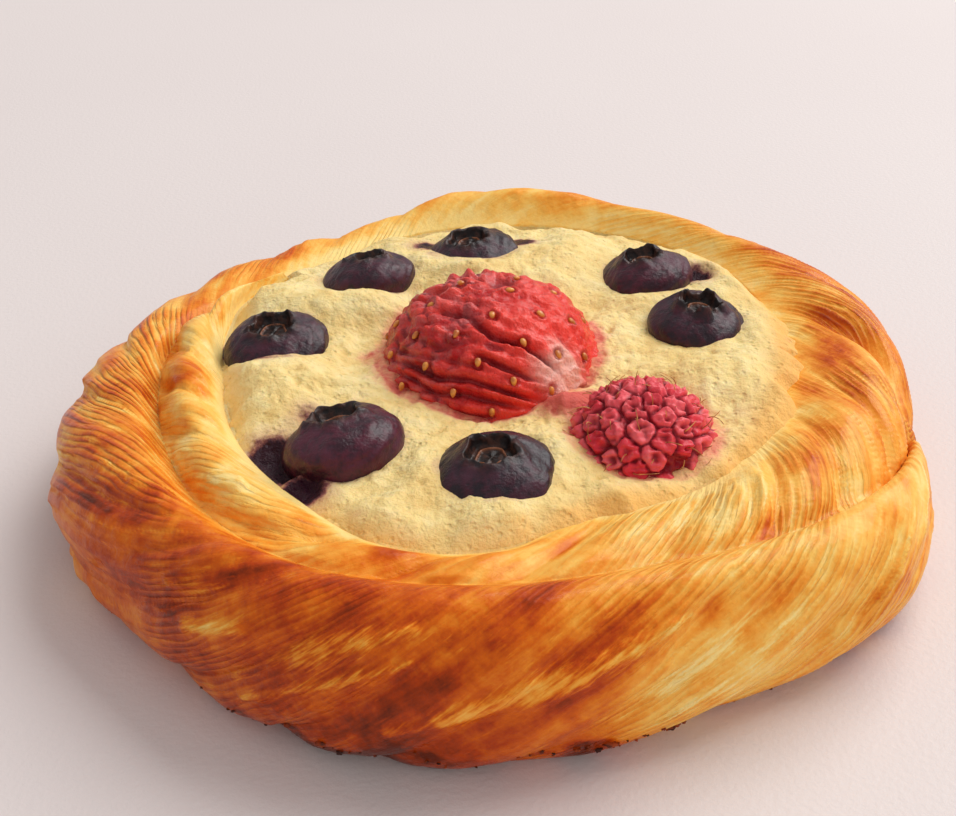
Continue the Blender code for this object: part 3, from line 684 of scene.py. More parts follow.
# Name, place of the middle, radius and height of the top in millimetres, lean in degrees
BLUEBERRIES = (("blueberry_front", -0.7, -24.6, 6.4, 20.4, (4, 2)),
               ("blueberry_front_left", -16.8, -17.9, 6.7, 20.7, (12, -14)),
               ("blueberry_left", -26.7, 4.8, 6.2, 20.6, (4, 6)),
               ("blueberry_back_left", -16.2, 22.6, 6.0, 20.8, (6, -12)),
               ("blueberry_back", -2.2, 29.6, 6.5, 20.4, (8, 2)),
               ("blueberry_right_back", 20.9, 20.8, 5.9, 20.7, (10, -4)),
               ("blueberry_right", 25.3, 6.8, 5.9, 20.7, (-4, 3)))
BLUEBERRY_FLATNESS = 0.85
STRAWBERRY_PLACE = (-0.7, 2.0)
STRAWBERRY_RADIUS = 13.9 * MM
RASPBERRY_PLACE = (15.8, -17.1)
RASPBERRY_RADIUS = 8.7 * MM
# Where juice has pooled beside a berry: place, reach and depth in millimetres
JUICE_POOLS = ((-24.2, -20.2, 3.6, 2.0), (-20.8, -25.0, 2.0, 1.4), (-33.0, 6.4, 2.2, 1.3),
               (27.6, 21.8, 2.2, 1.3))
# How far the cream has sunk at the edge of a berry, and how far out, in millimetres
SINK_BY_BLUEBERRY = (0.35, 1.6)
SINK_BY_RED_BERRY = (0.5, 1.8)
# The cream's lumps: height and size in millimetres, start in the noise and seed, then its blisters
CREAM_LUMPS = ((0.70, 6.2, 40, 40), (0.42, 2.7, 40, 41), (0.12, 0.8, 80, 43))
CREAM_BLISTERS = (0.30, 1.5, 40, 42)
LUMP_LEVEL = 0.12
PITS = 110
PIT_SPREAD = 36.0
PIT_SIZES = (0.25, 0.6)
PIT_DEPTH = 0.9
# Toasted places, and purple and red juice in the cream: place, reach in millimetres, strength
TOASTED = ((2.1, -34.1, 2.6, 0.75), (-4.0, -37.0, 3.0, 0.6), (9.7, -31.9, 3.0, 0.8),
           (14.5, -31.0, 3.4, 0.7), (23.7, -26.4, 3.0, 0.7), (27.8, -20.9, 2.6, 0.7),
           (33.5, -12.0, 3.0, 0.8), (35.0, -2.0, 3.0, 0.6), (-12.0, -36.5, 3.4, 0.35))
PURPLE_STAINS = ((-24.2, -20.2, 4.8, 1.9), (-21.0, -25.2, 3.2, 1.6), (-21.5, -12.6, 2.8, 1.0),
                 (-16.5, -11.0, 2.4, 0.7), (-33.0, 6.2, 2.4, 1.5), (-8.6, 33.0, 2.8, 1.5),
                 (4.4, 32.2, 2.4, 1.5), (-22.5, 22.5, 2.0, 0.6), (-10.0, 19.5, 1.6, 0.5),
                 (27.6, 21.5, 2.8, 1.6))
RED_STAINS = ((-15.0, 2.0, 2.2, 0.9), (7.6, -11.0, 3.6, 1.5), (10.6, -9.8, 2.0, 1.8),
              (8.5, 15.0, 2.2, 0.6), (-10.0, -9.5, 2.4, 0.5))


def cream_height(x, y):
    height = np.full(np.shape(x), CREAM_LEVEL)
    for middle_x, middle_y, width, rise in CREAM_MOUNDS:
        away = np.hypot(x / MM - middle_x, y / MM - middle_y) / width
        height = height + rise * MM * np.exp(-away * away)
    return height


def sink_beside(away, depth, reach):
    return depth * np.exp(-np.maximum(away, 0.0) / reach)


def hollow_round_berries(x, y):
    """How far the cream has sunk beside the berries, in metres."""
    sunk = np.zeros(np.shape(x))
    for _, berry_x, berry_y, radius, _, _ in BLUEBERRIES:
        away = np.hypot(x / MM - berry_x, y / MM - berry_y) - radius
        sunk = np.maximum(sunk, sink_beside(away, *SINK_BY_BLUEBERRY))
    for place, radius in ((STRAWBERRY_PLACE, STRAWBERRY_RADIUS), (RASPBERRY_PLACE, RASPBERRY_RADIUS)):
        away = np.hypot(x / MM - place[0], y / MM - place[1]) - radius / MM
        sunk = np.maximum(sunk, sink_beside(away, *SINK_BY_RED_BERRY))
    for pool_x, pool_y, reach, depth in JUICE_POOLS:
        away = np.hypot(x / MM - pool_x, y / MM - pool_y) / reach
        sunk = np.maximum(sunk, depth * np.exp(-away ** 4))
    return sunk * MM


def cream_lumps(x, y):
    """The risen cream's lumps and small blisters, in metres."""
    beside = np.full(np.shape(x), 9.0)
    for _, berry_x, berry_y, radius, _, _ in BLUEBERRIES:
        beside = np.minimum(beside, np.hypot(x / MM - berry_x, y / MM - berry_y) - radius)
    x, y = x / MM, y / MM
    lumps = sum(height * lattice_noise(x / size + start, y / size + start, seed)
                for height, size, start, seed in CREAM_LUMPS)
    height, size, start, seed = CREAM_BLISTERS
    lumps = lumps + height * np.abs(lattice_noise(x / size + start, y / size + start, seed))
    draw = np.random.RandomState(47)
    for _ in range(PITS):
        pit_x, pit_y = (draw.uniform(-PIT_SPREAD, PIT_SPREAD) for _ in range(2))
        size = draw.uniform(*PIT_SIZES)
        away = np.hypot(x - pit_x, y - pit_y) / size
        lumps = lumps - PIT_DEPTH * size * np.exp(-away ** 4)
    return (lumps - LUMP_LEVEL) * (0.35 + 0.65 * smoothstep(-1.0, 2.5, beside)) * MM


def make_cream():
    azimuth = np.linspace(0.0, 360.0, CREAM_SIDES + 1)
    turn = TAIL_AZIMUTH - azimuth
    edge_radius, edge_height = cream_edge(turn)
    direction = np.radians(azimuth)
    inner_turn = np.where(turn % 360.0 < MEETING, turn % 360.0 + 360.0, turn % 360.0)
    slope_width = np.clip(along(CREST_RADIUS, inner_turn) - edge_radius, 2.0 * MM, 9.0 * MM)
    ragged = LAP_SHARE + 0.22 * lattice_noise(azimuth / 7.5, azimuth * 0.0, 44)
    ragged = (ragged + 0.10 * lattice_noise(azimuth / 2.5, azimuth * 0.0, 45)) * slope_width
    rings = []
    for share in (0.0, 0.5, 1.0):
        radius = edge_radius - GAP - WALL_LEAN * (1.0 - share)
        height = np.full_like(radius, WELL_FLOOR + GAP + (edge_height - WELL_FLOOR - GAP) * share)
        rings.append(np.stack([radius * np.cos(direction), radius * np.sin(direction), height], 1))
    rings.insert(0, np.tile((0.0, 0.0, WELL_FLOOR + GAP), (len(azimuth), 1)))
    for ring in range(CREAM_RINGS + 1):
        share = 1.0 - ring / CREAM_RINGS
        radius = (edge_radius + ragged) * share
        x, y = radius * np.cos(direction), radius * np.sin(direction)
        inside = smoothstep(1.0, 0.87, share)
        level = CREAM_LEVEL + CREAM_SWELL * (cream_height(x, y) - CREAM_LEVEL)
        level = level - hollow_round_berries(x, y)
        top = EDGE_HEIGHT - RIM_DIP + (level - EDGE_HEIGHT + RIM_DIP) * inside
        top = top + cream_lumps(x, y) * smoothstep(1.0, 0.88, share)
        rings.append(np.stack([x, y, top], 1))
    points = np.stack(rings, 1)
    points[-1] = points[0]
    grid = np.arange(points.shape[0] * points.shape[1]).reshape(points.shape[:2])
    block = np.stack([grid[:-1, :-1], grid[1:, :-1], grid[1:, 1:], grid[:-1, 1:]], 2)
    mesh = bpy.data.meshes.new("cream_top")
    mesh.from_pydata((points.reshape(-1, 3) + PLAN_SHIFT).tolist(), [], block.reshape(-1, 4).tolist())
    return new_piece("cream_top", mesh)


def spots(x, y, places):
    total = np.zeros(np.shape(x))
    for middle_x, middle_y, reach, strength in places:
        away = np.hypot(x / MM - middle_x, y / MM - middle_y) / reach
        total = np.maximum(total, strength * np.exp(-away ** 2))
    return total


def rim(x, y, place, radius, reach):
    """1 at a berry's edge and inside it, fading over a reach outside."""
    away = np.hypot(x - place[0] * MM, y - place[1] * MM) - radius
    return np.exp(-np.maximum(away, 0.0) / (reach * MM))


def stain_cream(cream):
    """Writes where the cream is toasted, where berry juice has run in, and the dark ring of juice and
    painted shade at each blueberry's edge.
    """
    count = len(cream.data.vertices)
    place = np.empty(count * 3)
    cream.data.vertices.foreach_get("co", place)
    place = place.reshape(-1, 3) - PLAN_SHIFT
    x, y = place[:, 0], place[:, 1]
    azimuth = np.degrees(np.arctan2(y, x))
    from_edge = (along(CREAM_EDGE, azimuth) - np.hypot(x, y)) / MM
    toast = np.exp(-np.maximum(from_edge, 0.0) / 3.5)
    toast *= 0.45 + 0.40 * smoothstep(80.0, 20.0, azimuth) * smoothstep(-150.0, -120.0, azimuth)
    toast = np.maximum(toast, spots(x, y, TOASTED))
    red = 0.8 * rim(x, y, STRAWBERRY_PLACE, STRAWBERRY_RADIUS, 1.0)
    red = np.maximum(red, 0.6 * rim(x, y, RASPBERRY_PLACE, RASPBERRY_RADIUS, 0.6))
    red = np.maximum(red, spots(x, y, RED_STAINS))
    purple = spots(x, y, PURPLE_STAINS)
    patchy = 0.55 + 0.5 * lattice_noise(x / (3.0 * MM) + 40, y / (3.0 * MM) + 40, 48)
    # Beside each blueberry a thin dark ring: part purple juice, part painted shade where the berry meets
    # the cream.
    for _, berry_x, berry_y, radius, _, _ in BLUEBERRIES:
        purple = np.maximum(purple, 0.8 * patchy * rim(x, y, (berry_x, berry_y), radius * MM, 0.5))
    write_values(cream.data, toast=toast, red=red, purple=purple)


def baked_cream():
    finish = Finish("baked_cream", Subsurface_Weight=0.15, Subsurface_Radius=(0.003, 0.0016, 0.0007),
                    Specular_IOR_Level=0.2)
    place = finish.object_place()
    broad = finish.noise(place, 130.0, 4.0)
    mottle = finish.noise(place, 480.0, 5.0, 0.62)
    crumb = finish.noise(place, 1900.0, 4.0, 0.65)
    pits = finish.cells(place, 900.0)
    base = finish.ramp(broad * 0.5 + mottle * 0.5,
                       [(0.30, (0.80, 0.52, 0.17)), (0.48, (0.94, 0.71, 0.295)),
                        (0.66, (0.99, 0.83, 0.43))])
    toast = finish.attribute("toast")
    toasted = finish.between(toast + (broad - 0.5) * 0.8 + (mottle - 0.5) * 0.5, 0.25, 1.0)
    colour = finish.blend(toasted * 0.85, base, (0.90, 0.47, 0.11))
    edge = (mottle - 0.5) * 0.9 + (crumb - 0.5) * 0.4 + (broad - 0.5) * 0.9
    red = finish.attribute("red") + edge
    colour = finish.blend(finish.between(red, 0.20, 0.85) * 0.70, colour, (0.86, 0.28, 0.20))
    colour = finish.blend(finish.between(red, 0.62, 1.05) * 0.85, colour, (0.66, 0.075, 0.070))
    purple = finish.attribute("purple") + edge
    colour = finish.blend(finish.between(purple, 0.10, 0.75) * 0.45, colour, (0.60, 0.33, 0.24))
    # The darkest purple and the near black beside the blueberries are part juice, part painted shade.
    colour = finish.blend(finish.between(purple, 0.60, 1.00) * 0.85, colour, (0.20, 0.015, 0.050))
    juice_and_shade = finish.between(purple, 0.85, 1.15)
    colour = finish.blend(juice_and_shade, colour, (0.030, 0.004, 0.012))
    relief = mottle * 0.6 + crumb * 0.50 + finish.between(pits, 0.05, 0.35) * 0.28
    finish.feed(Base_Color=colour, Roughness=0.62 - 0.34 * juice_and_shade, Normal=finish.bump(relief, 0.0006, 0.9))
    return finish


cream = make_cream()
tidy_mesh(cream)
stain_cream(cream)
finish_piece(cream, baked_cream(), "cream", "cream_filling")

# The blueberries
# Seven whole berries that shrank in the oven: wrinkled dark skin with a grey bloom, and on top the
# crater of the calyx with its five dry sepals.
CALYX_POINTS = 5
CALYX_INNER = 0.38
CALYX_POINT = 0.07
CALYX_LIP = 0.03
CRATER_DEPTH = 0.15
# The dry ring of the flower in the crater: place and width as shares of the way in, and height as a
# share of the radius
RING_PLACE = 0.52
RING_WIDTH = 0.05
RING_HEIGHT = 0.045
# How high the dried sepals stand on each berry, as a share of its radius, and how plum its skin is
BERRY_LOOKS = ((0.05, 0.1), (0.04, 1.0), (0.06, 0.3), (0.05, 0.5), (0.04, 0.1), (0.07, 0.9),
               (0.19, 0.3))
SHRINKING = 0.35
SAGGING = 0.24
BERRY_SWELL = 1.05
# Heights in millimetres of the broad folds, the creases and the fine wrinkles of the skin, and how
# far the skin is lowered under them
BERRY_FOLDS = 0.26
BERRY_CREASES = 0.26
BERRY_WRINKLES = 0.12
SKIN_SINK = 0.14
CROWN_RAGGEDNESS = 0.05
CROWN_SHARE = 6.0 / 9.0
BERRY_SIDES = 120
BERRY_ROWS = 84


def skin_level(reach):
    """Height of the shrunken skin over the berry's middle where its reach is a share of the radius."""
    round_height = np.sqrt(np.maximum(0.0, 1.0 - reach * reach))
    return round_height + SHRINKING * (1.0 - reach ** 1.5 - round_height)


def blueberry_points(share, angle, radius, sepals):
    """Outline of a blueberry, from its underside (0) up over its crown and into its crater (1)."""
    half_height = radius * BLUEBERRY_FLATNESS
    point = (1.0 + np.cos(CALYX_POINTS * angle)) * 0.5
    nearest = np.round(CALYX_POINTS * angle / (2.0 * np.pi)).astype(int) % CALYX_POINTS
    stands = sepals[nearest] * smoothstep(0.25, 0.9, point)
    crown_radius = radius * (CALYX_INNER + CALYX_POINT * point)
    climb = np.clip(share / CROWN_SHARE, 0.0, 1.0)
    polar = np.pi * (1.0 - climb) + np.arcsin(crown_radius / radius) * climb
    skin_reach = radius * np.sin(polar)
    collar = radius * (CALYX_LIP + stands)
    slumped = np.where(polar < np.pi / 2.0, skin_level(skin_reach / radius), np.cos(polar))
    sagged = SAGGING * radius * (skin_reach / radius) ** 2
    skin_height = half_height * slumped + sagged + collar * smoothstep(0.90, 1.0, climb)
    inward = np.clip((share - CROWN_SHARE) / (1.0 - CROWN_SHARE), 0.0, 1.0)
    crown = crown_radius / radius
    floor_height = half_height * skin_level(crown) + SAGGING * radius * crown ** 2
    fallen = CRATER_DEPTH * radius * smoothstep(0.03, 0.30, inward)
    fallen = fallen - collar * smoothstep(0.14, 0.0, inward)
    ring = RING_HEIGHT * radius * np.exp(-((inward - RING_PLACE) / RING_WIDTH) ** 2)
    inside = share > CROWN_SHARE
    reach = np.where(inside, crown_radius * (1.0 - inward) ** 0.8, skin_reach)
    height = np.where(inside, floor_height - fallen + ring, skin_height)
    return np.stack([reach * np.cos(angle), reach * np.sin(angle), height], -1)


def add_sphere(name, sides, rows):
    """A new ball at the origin, with each vertex's share of the way up and its bearing."""
    bpy.ops.object.select_all(action="DESELECT")
    bpy.ops.mesh.primitive_uv_sphere_add(segments=sides, ring_count=rows, radius=1.0)
    ball = bpy.context.active_object
    ball.name = name
    ball.data.name = name
    place = np.array([vert.co[:] for vert in ball.data.vertices])
    share = 1.0 - np.arccos(np.clip(place[:, 2], -1.0, 1.0)) / np.pi
    angle = np.arctan2(place[:, 1], place[:, 0])
    return ball, share, angle


def move_points(piece, points):
    piece.data.vertices.foreach_set("co", np.asarray(points, float).ravel())
    piece.data.update()


def make_blueberry(name, x, y, radius_mm, top_mm, lean, looks, seed):
    radius = radius_mm * MM
    draw = np.random.RandomState(seed)
    berry, share, angle = add_sphere(name + "_skin", BERRY_SIDES, BERRY_ROWS)
    sepals = looks[0] * draw.uniform(0.2, 1.3, CALYX_POINTS)
    points = blueberry_points(share, angle, radius, sepals)
    points[:, :2] *= BERRY_SWELL
    outward = points - np.array((0.0, 0.0, -0.2 * radius))
    outward /= np.linalg.norm(outward, axis=1)[:, None]
    x_mm, y_mm, z_mm = (points / MM).T
    folds = lattice_noise(x_mm / 3.2 + z_mm / 4.0 + 30, y_mm / 3.2 - z_mm / 3.6 + 30, seed)
    creases = np.abs(lattice_noise(x_mm / 2.6 + z_mm / 1.5 + 60, y_mm / 2.6 - z_mm / 2.1 + 60, seed + 1))
    fine = np.abs(lattice_noise(x_mm / 0.9 + z_mm / 0.7 + 90, y_mm / 0.9 - z_mm / 0.8 + 90, seed + 2))
    skin = smoothstep(CROWN_SHARE + 0.02, CROWN_SHARE - 0.10, share)
    wrinkled = BERRY_FOLDS * folds + BERRY_CREASES * creases + BERRY_WRINKLES * fine
    lift = skin * MM * (wrinkled - SKIN_SINK)
    points = points + outward * lift[:, None]
    torn = lattice_noise(angle * 4.0 + 90, share * 40.0 + 90, seed + 3)
    lip = np.exp(-((share - CROWN_SHARE) / 0.025) ** 2)
    points[:, 2] += CROWN_RAGGEDNESS * radius * torn * lip
    calyx = smoothstep(CROWN_SHARE - 0.05, CROWN_SHARE + 0.01, share)
    inward = (share - CROWN_SHARE) / (1.0 - CROWN_SHARE)
    ring = np.exp(-((inward - RING_PLACE) / RING_WIDTH) ** 2)
    write_values(berry.data, calyx=calyx, ring=ring, plum=np.full(len(share), looks[1]))
    turn = Euler((math.radians(lean[0]), math.radians(lean[1]), math.radians(-90.0)))
    middle = Vector((x * MM, y * MM, top_mm * MM - radius * BLUEBERRY_FLATNESS)) + Vector(PLAN_SHIFT)
    facing = np.array(turn.to_matrix())
    move_points(berry, points @ facing.T + np.array(middle))
    tidy_mesh(berry)
    return berry


def blueberry_skin():
    finish = Finish("blueberry_skin", Coat_Weight=0.08, Coat_Roughness=0.24,
                    Specular_IOR_Level=0.32)
    place = finish.object_place()
    broad = finish.noise(place, 240.0, 4.0)
    wrinkle = finish.noise(place, 900.0, 4.0, 0.6)
    dust = finish.noise(place, 3200.0, 3.0, 0.6)
    bloom = finish.between(broad + (dust - 0.5) * 0.35, 0.42, 0.72)
    purple = finish.between(wrinkle * 0.6 + broad * 0.4, 0.40, 0.62)
    colour = finish.blend(purple, (0.009, 0.005, 0.011), (0.044, 0.006, 0.017))
    plum = finish.attribute("plum")
    colour = finish.blend(plum * (0.25 + 0.55 * purple), colour, (0.090, 0.008, 0.024))
    colour = finish.blend(bloom * 0.17, colour, (0.12, 0.066, 0.11))
    calyx = finish.attribute("calyx")
    dry = finish.between(wrinkle, 0.40, 0.65)
    inner = finish.blend(dry, (0.008, 0.004, 0.004), (0.060, 0.020, 0.012))
    dry_ring = finish.attribute("ring") * finish.between(wrinkle, 0.35, 0.5)
    inner = finish.blend(dry_ring, inner, (0.30, 0.10, 0.04))
    colour = finish.blend(calyx, colour, inner)
    bumps = finish.bump(wrinkle * 0.7 + dust * 0.15, 0.0004, 0.8)
    finish.feed(Base_Color=colour, Roughness=0.34 + 0.25 * bloom, Normal=bumps)
    return finish


berry_skin = blueberry_skin()
for number, (name, x, y, radius_mm, top_mm, lean) in enumerate(BLUEBERRIES):
    berry = make_blueberry(name, x, y, radius_mm, top_mm, lean, BERRY_LOOKS[number], 100 + 10 * number)
    finish_piece(berry, berry_skin, "blueberry_skin", name)

# The strawberry half
# Half a strawberry, skin up, shrunken in the oven into curved furrows that run from its pale hull
# end. Painted shade darkens the furrows and hollows, painted light brightens the raised ridges and
# the half towards the lights, and each seed sits in a small pit with painted shade on its wall.
STRAWBERRY_TOP = 25.3 * MM
STRAWBERRY_BASE = 11.0 * MM
STRAWBERRY_AXIS = -32.0
DOME_FOOT = 0.15
DOME_FULLNESS = 0.85
# Lengthwise furrows: degrees round the fruit from its top line, depth in millimetres, and from where
# to where along its length in millimetres
FURROWS = ((-24, 1.25, -5, 13), (-40, 1.30, 2, 12), (-33, 0.60, -7, 5), (-46, 0.65, -9, 7),
           (-53, 1.10, -7, 12), (-60, 0.90, -8, 11), (-68, 1.15, -12, 9), (-76, 0.80, -9, 8),
           (-84, 0.7, -8, 6), (-13, 0.55, -10, 1), (0, 0.70, -11, -1), (14, 0.60, -11, 0),
           (30, 0.60, -10, 2), (48, 0.7, -10, 6), (62, 0.6, -9, 9), (75, 0.6, -8, 9))
# A furrow's half width and the radius where it is measured, in millimetres, and its sway in degrees
FURROW_WIDTH = 0.48
FURROW_ARC = 13.0
FURROW_SWAY = 3.0
# Heights in millimetres of the swellings, and of the ridges, fibres and bumps of the flesh
SWELLING = 0.50
RIDGES = 0.30
FIBRES = 0.16
BUMPS = 0.20
# Sunken places in its upper side: place from its middle, reach and depth in millimetres
SUNKEN = ((-6.0, 2.5, 1.7, 1.3), (1.8, 3.4, 1.9, 1.2), (-10.0, -3.0, 1.2, 0.8), (-8.5, -8.0, 1.3, 0.7))
SEED_COUNT = 44
SEED_SPREAD = 0.877
# A seed's pit, the raised lip round it and its shaded wall: distance from the seed and width in
# millimetres, then height, or strength for the shade
SEED_PIT = (0.0, 0.55, -0.36)
SEED_LIP = (0.95, 0.26, 0.24)
SEED_SHADE = (0.62, 0.22, 1.0)
# The pale hull end: its place along and across the fruit in millimetres, and its reach
HULL_END = (13.0, -3.5)
HULL_REACH = (4.6, 4.5)
STRAWBERRY_SIDES = 224
STRAWBERRY_ROWS = 150
GOLDEN_ANGLE = math.pi * (3.0 - math.sqrt(5.0))


def dome_points(share, angle, radius, base, top):
    climb = np.clip((share - DOME_FOOT) / (1.0 - DOME_FOOT), 0.0, 1.0)
    bend = 0.5 * np.pi * climb
    reach = np.where(share < DOME_FOOT, share / DOME_FOOT, np.maximum(np.cos(bend), 0.0) ** DOME_FULLNESS)
    height = base + (top - base) * np.sin(bend) ** DOME_FULLNESS
    return np.stack([radius * reach * np.cos(angle), radius * reach * np.sin(angle), height], -1)


def strawberry_frame(points):
    """Distances in metres along the fruit, positive towards the hull, and across it."""
    direction = math.radians(STRAWBERRY_AXIS)
    lengthways = points[..., 0] * math.cos(direction) + points[..., 1] * math.sin(direction)
    crossways = points[..., 1] * math.cos(direction) - points[..., 0] * math.sin(direction)
    return lengthways, crossways


def furrow_depth(lengthways, round_angle):
    """How deep the lengthwise furrows are at a place on the fruit, in millimetres."""
    sway = FURROW_SWAY * lattice_noise(lengthways / 4.5 + 30, round_angle / 14.0 + 30, 61)
    depth = np.zeros_like(lengthways)
    for angle, deep, start, end in FURROWS:
        off = np.radians(round_angle + sway - angle) * FURROW_ARC / FURROW_WIDTH
        span = smoothstep(start, start + 3.5, lengthways) * smoothstep(end, end - 3.5, lengthways)
        depth = np.maximum(depth, deep * span * np.exp(-off * off))
    return depth


def seed_places():
    places = []
    for number in range(SEED_COUNT):
        reach = SEED_SPREAD * math.sqrt((number + 0.5) / SEED_COUNT)
        angle = number * GOLDEN_ANGLE
        on_skin, beside = [dome_points(np.float64(1.0 - share * (1.0 - DOME_FOOT)), np.float64(angle),
                                       STRAWBERRY_RADIUS, STRAWBERRY_BASE, STRAWBERRY_TOP)
                           for share in (reach, reach + 0.02)]
        places.append((on_skin, beside))
    return places


def round_seed(away, place, width, height):
    """A soft ring or pit round a seed, in millimetres."""
    return height * np.exp(-((away - place) / width) ** 2)


def make_strawberry():
    fruit, share, angle = add_sphere("strawberry_skin", STRAWBERRY_SIDES, STRAWBERRY_ROWS)
    points = dome_points(share, angle, STRAWBERRY_RADIUS, STRAWBERRY_BASE, STRAWBERRY_TOP)
    upper = smoothstep(STRAWBERRY_BASE + 2.5 * MM, STRAWBERRY_BASE + 5 * MM, points[:, 2])
    lengthways, crossways = strawberry_frame(points)
    length, across = lengthways / MM, crossways / MM
    x, y, z = (points / MM).T
    round_angle = np.degrees(np.arctan2(across, z - STRAWBERRY_BASE / MM))
    depth = furrow_depth(length, round_angle)
    ragged = 2.0 * lattice_noise(x / 4.0 + 9, y / 4.0 + 9, 66)
    pulp = smoothstep(3.0, -3.0, length + 0.12 * across + ragged)
    crag = np.abs(lattice_noise(x / 2.1 + 60, y / 2.1 + z / 2.4 + 60, 63))
    crag = crag + 0.25 * np.abs(lattice_noise(x / 1.0 + 60, y / 1.0 + z / 1.2 + 60, 67))
    swell = SWELLING * lattice_noise(length / 5.0 + 20, round_angle / 22.0 + 20, 68)
    ridges = 1.0 - 2.0 * np.abs(lattice_noise(length / 5.0 + 60, round_angle / 6.5 + 60, 64))
    fibres = lattice_noise(length / 2.2 + 60, round_angle / 2.6 + 60, 69)
    bumps = 1.0 - 2.0 * np.abs(lattice_noise(x / 1.3 + 60, y / 1.3 + z / 1.5 + 60, 70))
    flesh = RIDGES * ridges + FIBRES * fibres + BUMPS * bumps
    hollow = np.zeros(len(points))
    for sunk_x, sunk_y, reach, sunk in SUNKEN:
        away = ((x - sunk_x) ** 2 + (y - sunk_y) ** 2) / reach ** 2
        hollow = np.maximum(hollow, sunk * np.exp(-away))
    lift = upper * MM * (swell + flesh + pulp * (1.0 * crag - 0.55) - depth - hollow - 0.25)
    # From here on, depth also marks the furrows, hollows, pulp crevices and low flesh that get painted
    # shade.
    depth = np.maximum(depth, np.maximum(hollow, pulp * smoothstep(0.34, 0.04, crag)))
    depth = np.maximum(depth, 0.8 * smoothstep(0.10, -0.32, flesh))
    pits = np.zeros(len(points))
    for on_skin, _ in seed_places():
        away = np.linalg.norm(points - on_skin, axis=1) / MM
        lift = lift + MM * (round_seed(away, *SEED_LIP) + round_seed(away, *SEED_PIT))
        # Painted shade on the wall of each seed's pit.
        pits = np.maximum(pits, round_seed(away, *SEED_SHADE))
    outward = points - np.array((0.0, 0.0, STRAWBERRY_BASE - 4 * MM))
    outward /= np.linalg.norm(outward, axis=1)[:, None]
    points = points + outward * lift[:, None]
    hull_length = (length - HULL_END[0]) / HULL_REACH[0]
    hull_across = (across - HULL_END[1]) / HULL_REACH[1]
    hull = np.exp(-hull_length ** 2 - hull_across ** 2)
    hull = hull * (0.8 + 0.5 * lattice_noise(length / 3.0 + 20, round_angle / 9.0 + 20, 65))
    dark = np.clip(depth, 0.0, 1.0)
    # Painted highlight: the raised ridges of the flesh are painted a lighter red.
    ridge = smoothstep(0.05, 0.38, flesh)
    # Painted light: the half of the fruit towards the lights is painted a brighter coral.
    coral = smoothstep(0.0, 9.0, length + 0.2 * across)
    move_points(fruit, points + PLAN_SHIFT + np.array((*STRAWBERRY_PLACE, 0.0)) * MM)
    write_values(fruit.data, hull=hull, dark=dark, coral=coral, pits=pits, pulp=pulp, ridge=ridge)
    tidy_mesh(fruit)
    return fruit


def strawberry_skin():
    finish = Finish("strawberry_skin", Coat_Weight=0.30, Coat_Roughness=0.12, Subsurface_Weight=0.12,
                    Subsurface_Radius=(0.002, 0.0004, 0.0003), Specular_IOR_Level=0.15)
    place = finish.object_place()
    broad = finish.noise(place, 200.0, 4.0)
    mottle = finish.noise(place, 700.0, 5.0, 0.6)
    fine = finish.noise(place, 2600.0, 3.0, 0.6)
    colour = finish.blend(finish.between(broad, 0.38, 0.62), (0.56, 0.014, 0.016), (0.80, 0.048, 0.038))
    # Painted light on the half towards the lights.
    colour = finish.blend(finish.attribute("coral") * 0.75, colour, (0.93, 0.055, 0.035))
    haze = finish.attribute("pulp") * finish.between(mottle + (broad - 0.5) * 0.5, 0.36, 0.66)
    colour = finish.blend(haze * 0.65, colour, (0.58, 0.16, 0.16))
    colour = finish.blend(finish.between(mottle, 0.50, 0.74) * 0.25, colour, (0.86, 0.10, 0.065))
    hull = finish.between(finish.attribute("hull") + (mottle - 0.5) * 0.6, 0.2, 0.9)
    # Painted highlight on the raised ridges.
    colour = finish.blend(finish.attribute("ridge") * 0.60, colour, (0.92, 0.062, 0.038))
    colour = finish.blend(hull * 0.92, colour, (1.0, 0.54, 0.44))
    # Painted shade in the furrows, hollows and crevices.
    furrow = finish.between(finish.attribute("dark"), 0.20, 1.0)
    colour = finish.blend(furrow * 0.80, colour, (0.20, 0.006, 0.014))
    # Painted shade on the seed pits' walls.
    colour = finish.blend(finish.attribute("pits") * 0.60, colour, (0.30, 0.012, 0.012))
    bumps = finish.bump(mottle * 0.7 + fine * 0.3, 0.0010, 0.9)
    finish.feed(Base_Color=colour, Roughness=0.26 + (mottle - 0.5) * 0.3, Normal=bumps)
    return finish


fruit = make_strawberry()
finish_piece(fruit, strawberry_skin(), "strawberry_skin", "strawberry_half")

# The strawberry's seeds
# Small hard golden seeds, each lying in its pit in the strawberry's skin with the narrow end down.
# The bigger ones are fused to the skin of the solid half.
SEED_SIZE = (0.36 * MM, 0.56 * MM, 0.30 * MM)
SEED_SINK = 0.12 * MM
SEED_TAPER = 0.25


def make_seeds():
    """One small ball for each seed, joined into one piece."""
    place = np.array((*STRAWBERRY_PLACE, 0.0)) * MM + PLAN_SHIFT
    bm = bmesh.new()
    for number, (on_skin, beside) in enumerate(seed_places()):
        outward = Vector((on_skin[0], on_skin[1], (on_skin[2] - STRAWBERRY_BASE) * 0.9)).normalized()
        down = Vector(beside - on_skin).normalized()
        across = outward.cross(down).normalized()
        axes = Matrix((across * SEED_SIZE[0], down * SEED_SIZE[1], outward * SEED_SIZE[2]))
        lifted = Vector(on_skin + place)
        lifted.z -= SEED_SINK
        made = bmesh.ops.create_icosphere(bm, subdivisions=2, radius=1.0)
        for vert in made["verts"]:
            point = vert.co.copy()
            narrow = 1.0 - SEED_TAPER * point.y
            vert.co = lifted + axes.transposed() @ Vector((point.x * narrow, point.y, point.z))
    seeds = piece_from("strawberry_seeds", bm)
    tidy_mesh(seeds)
    return seeds


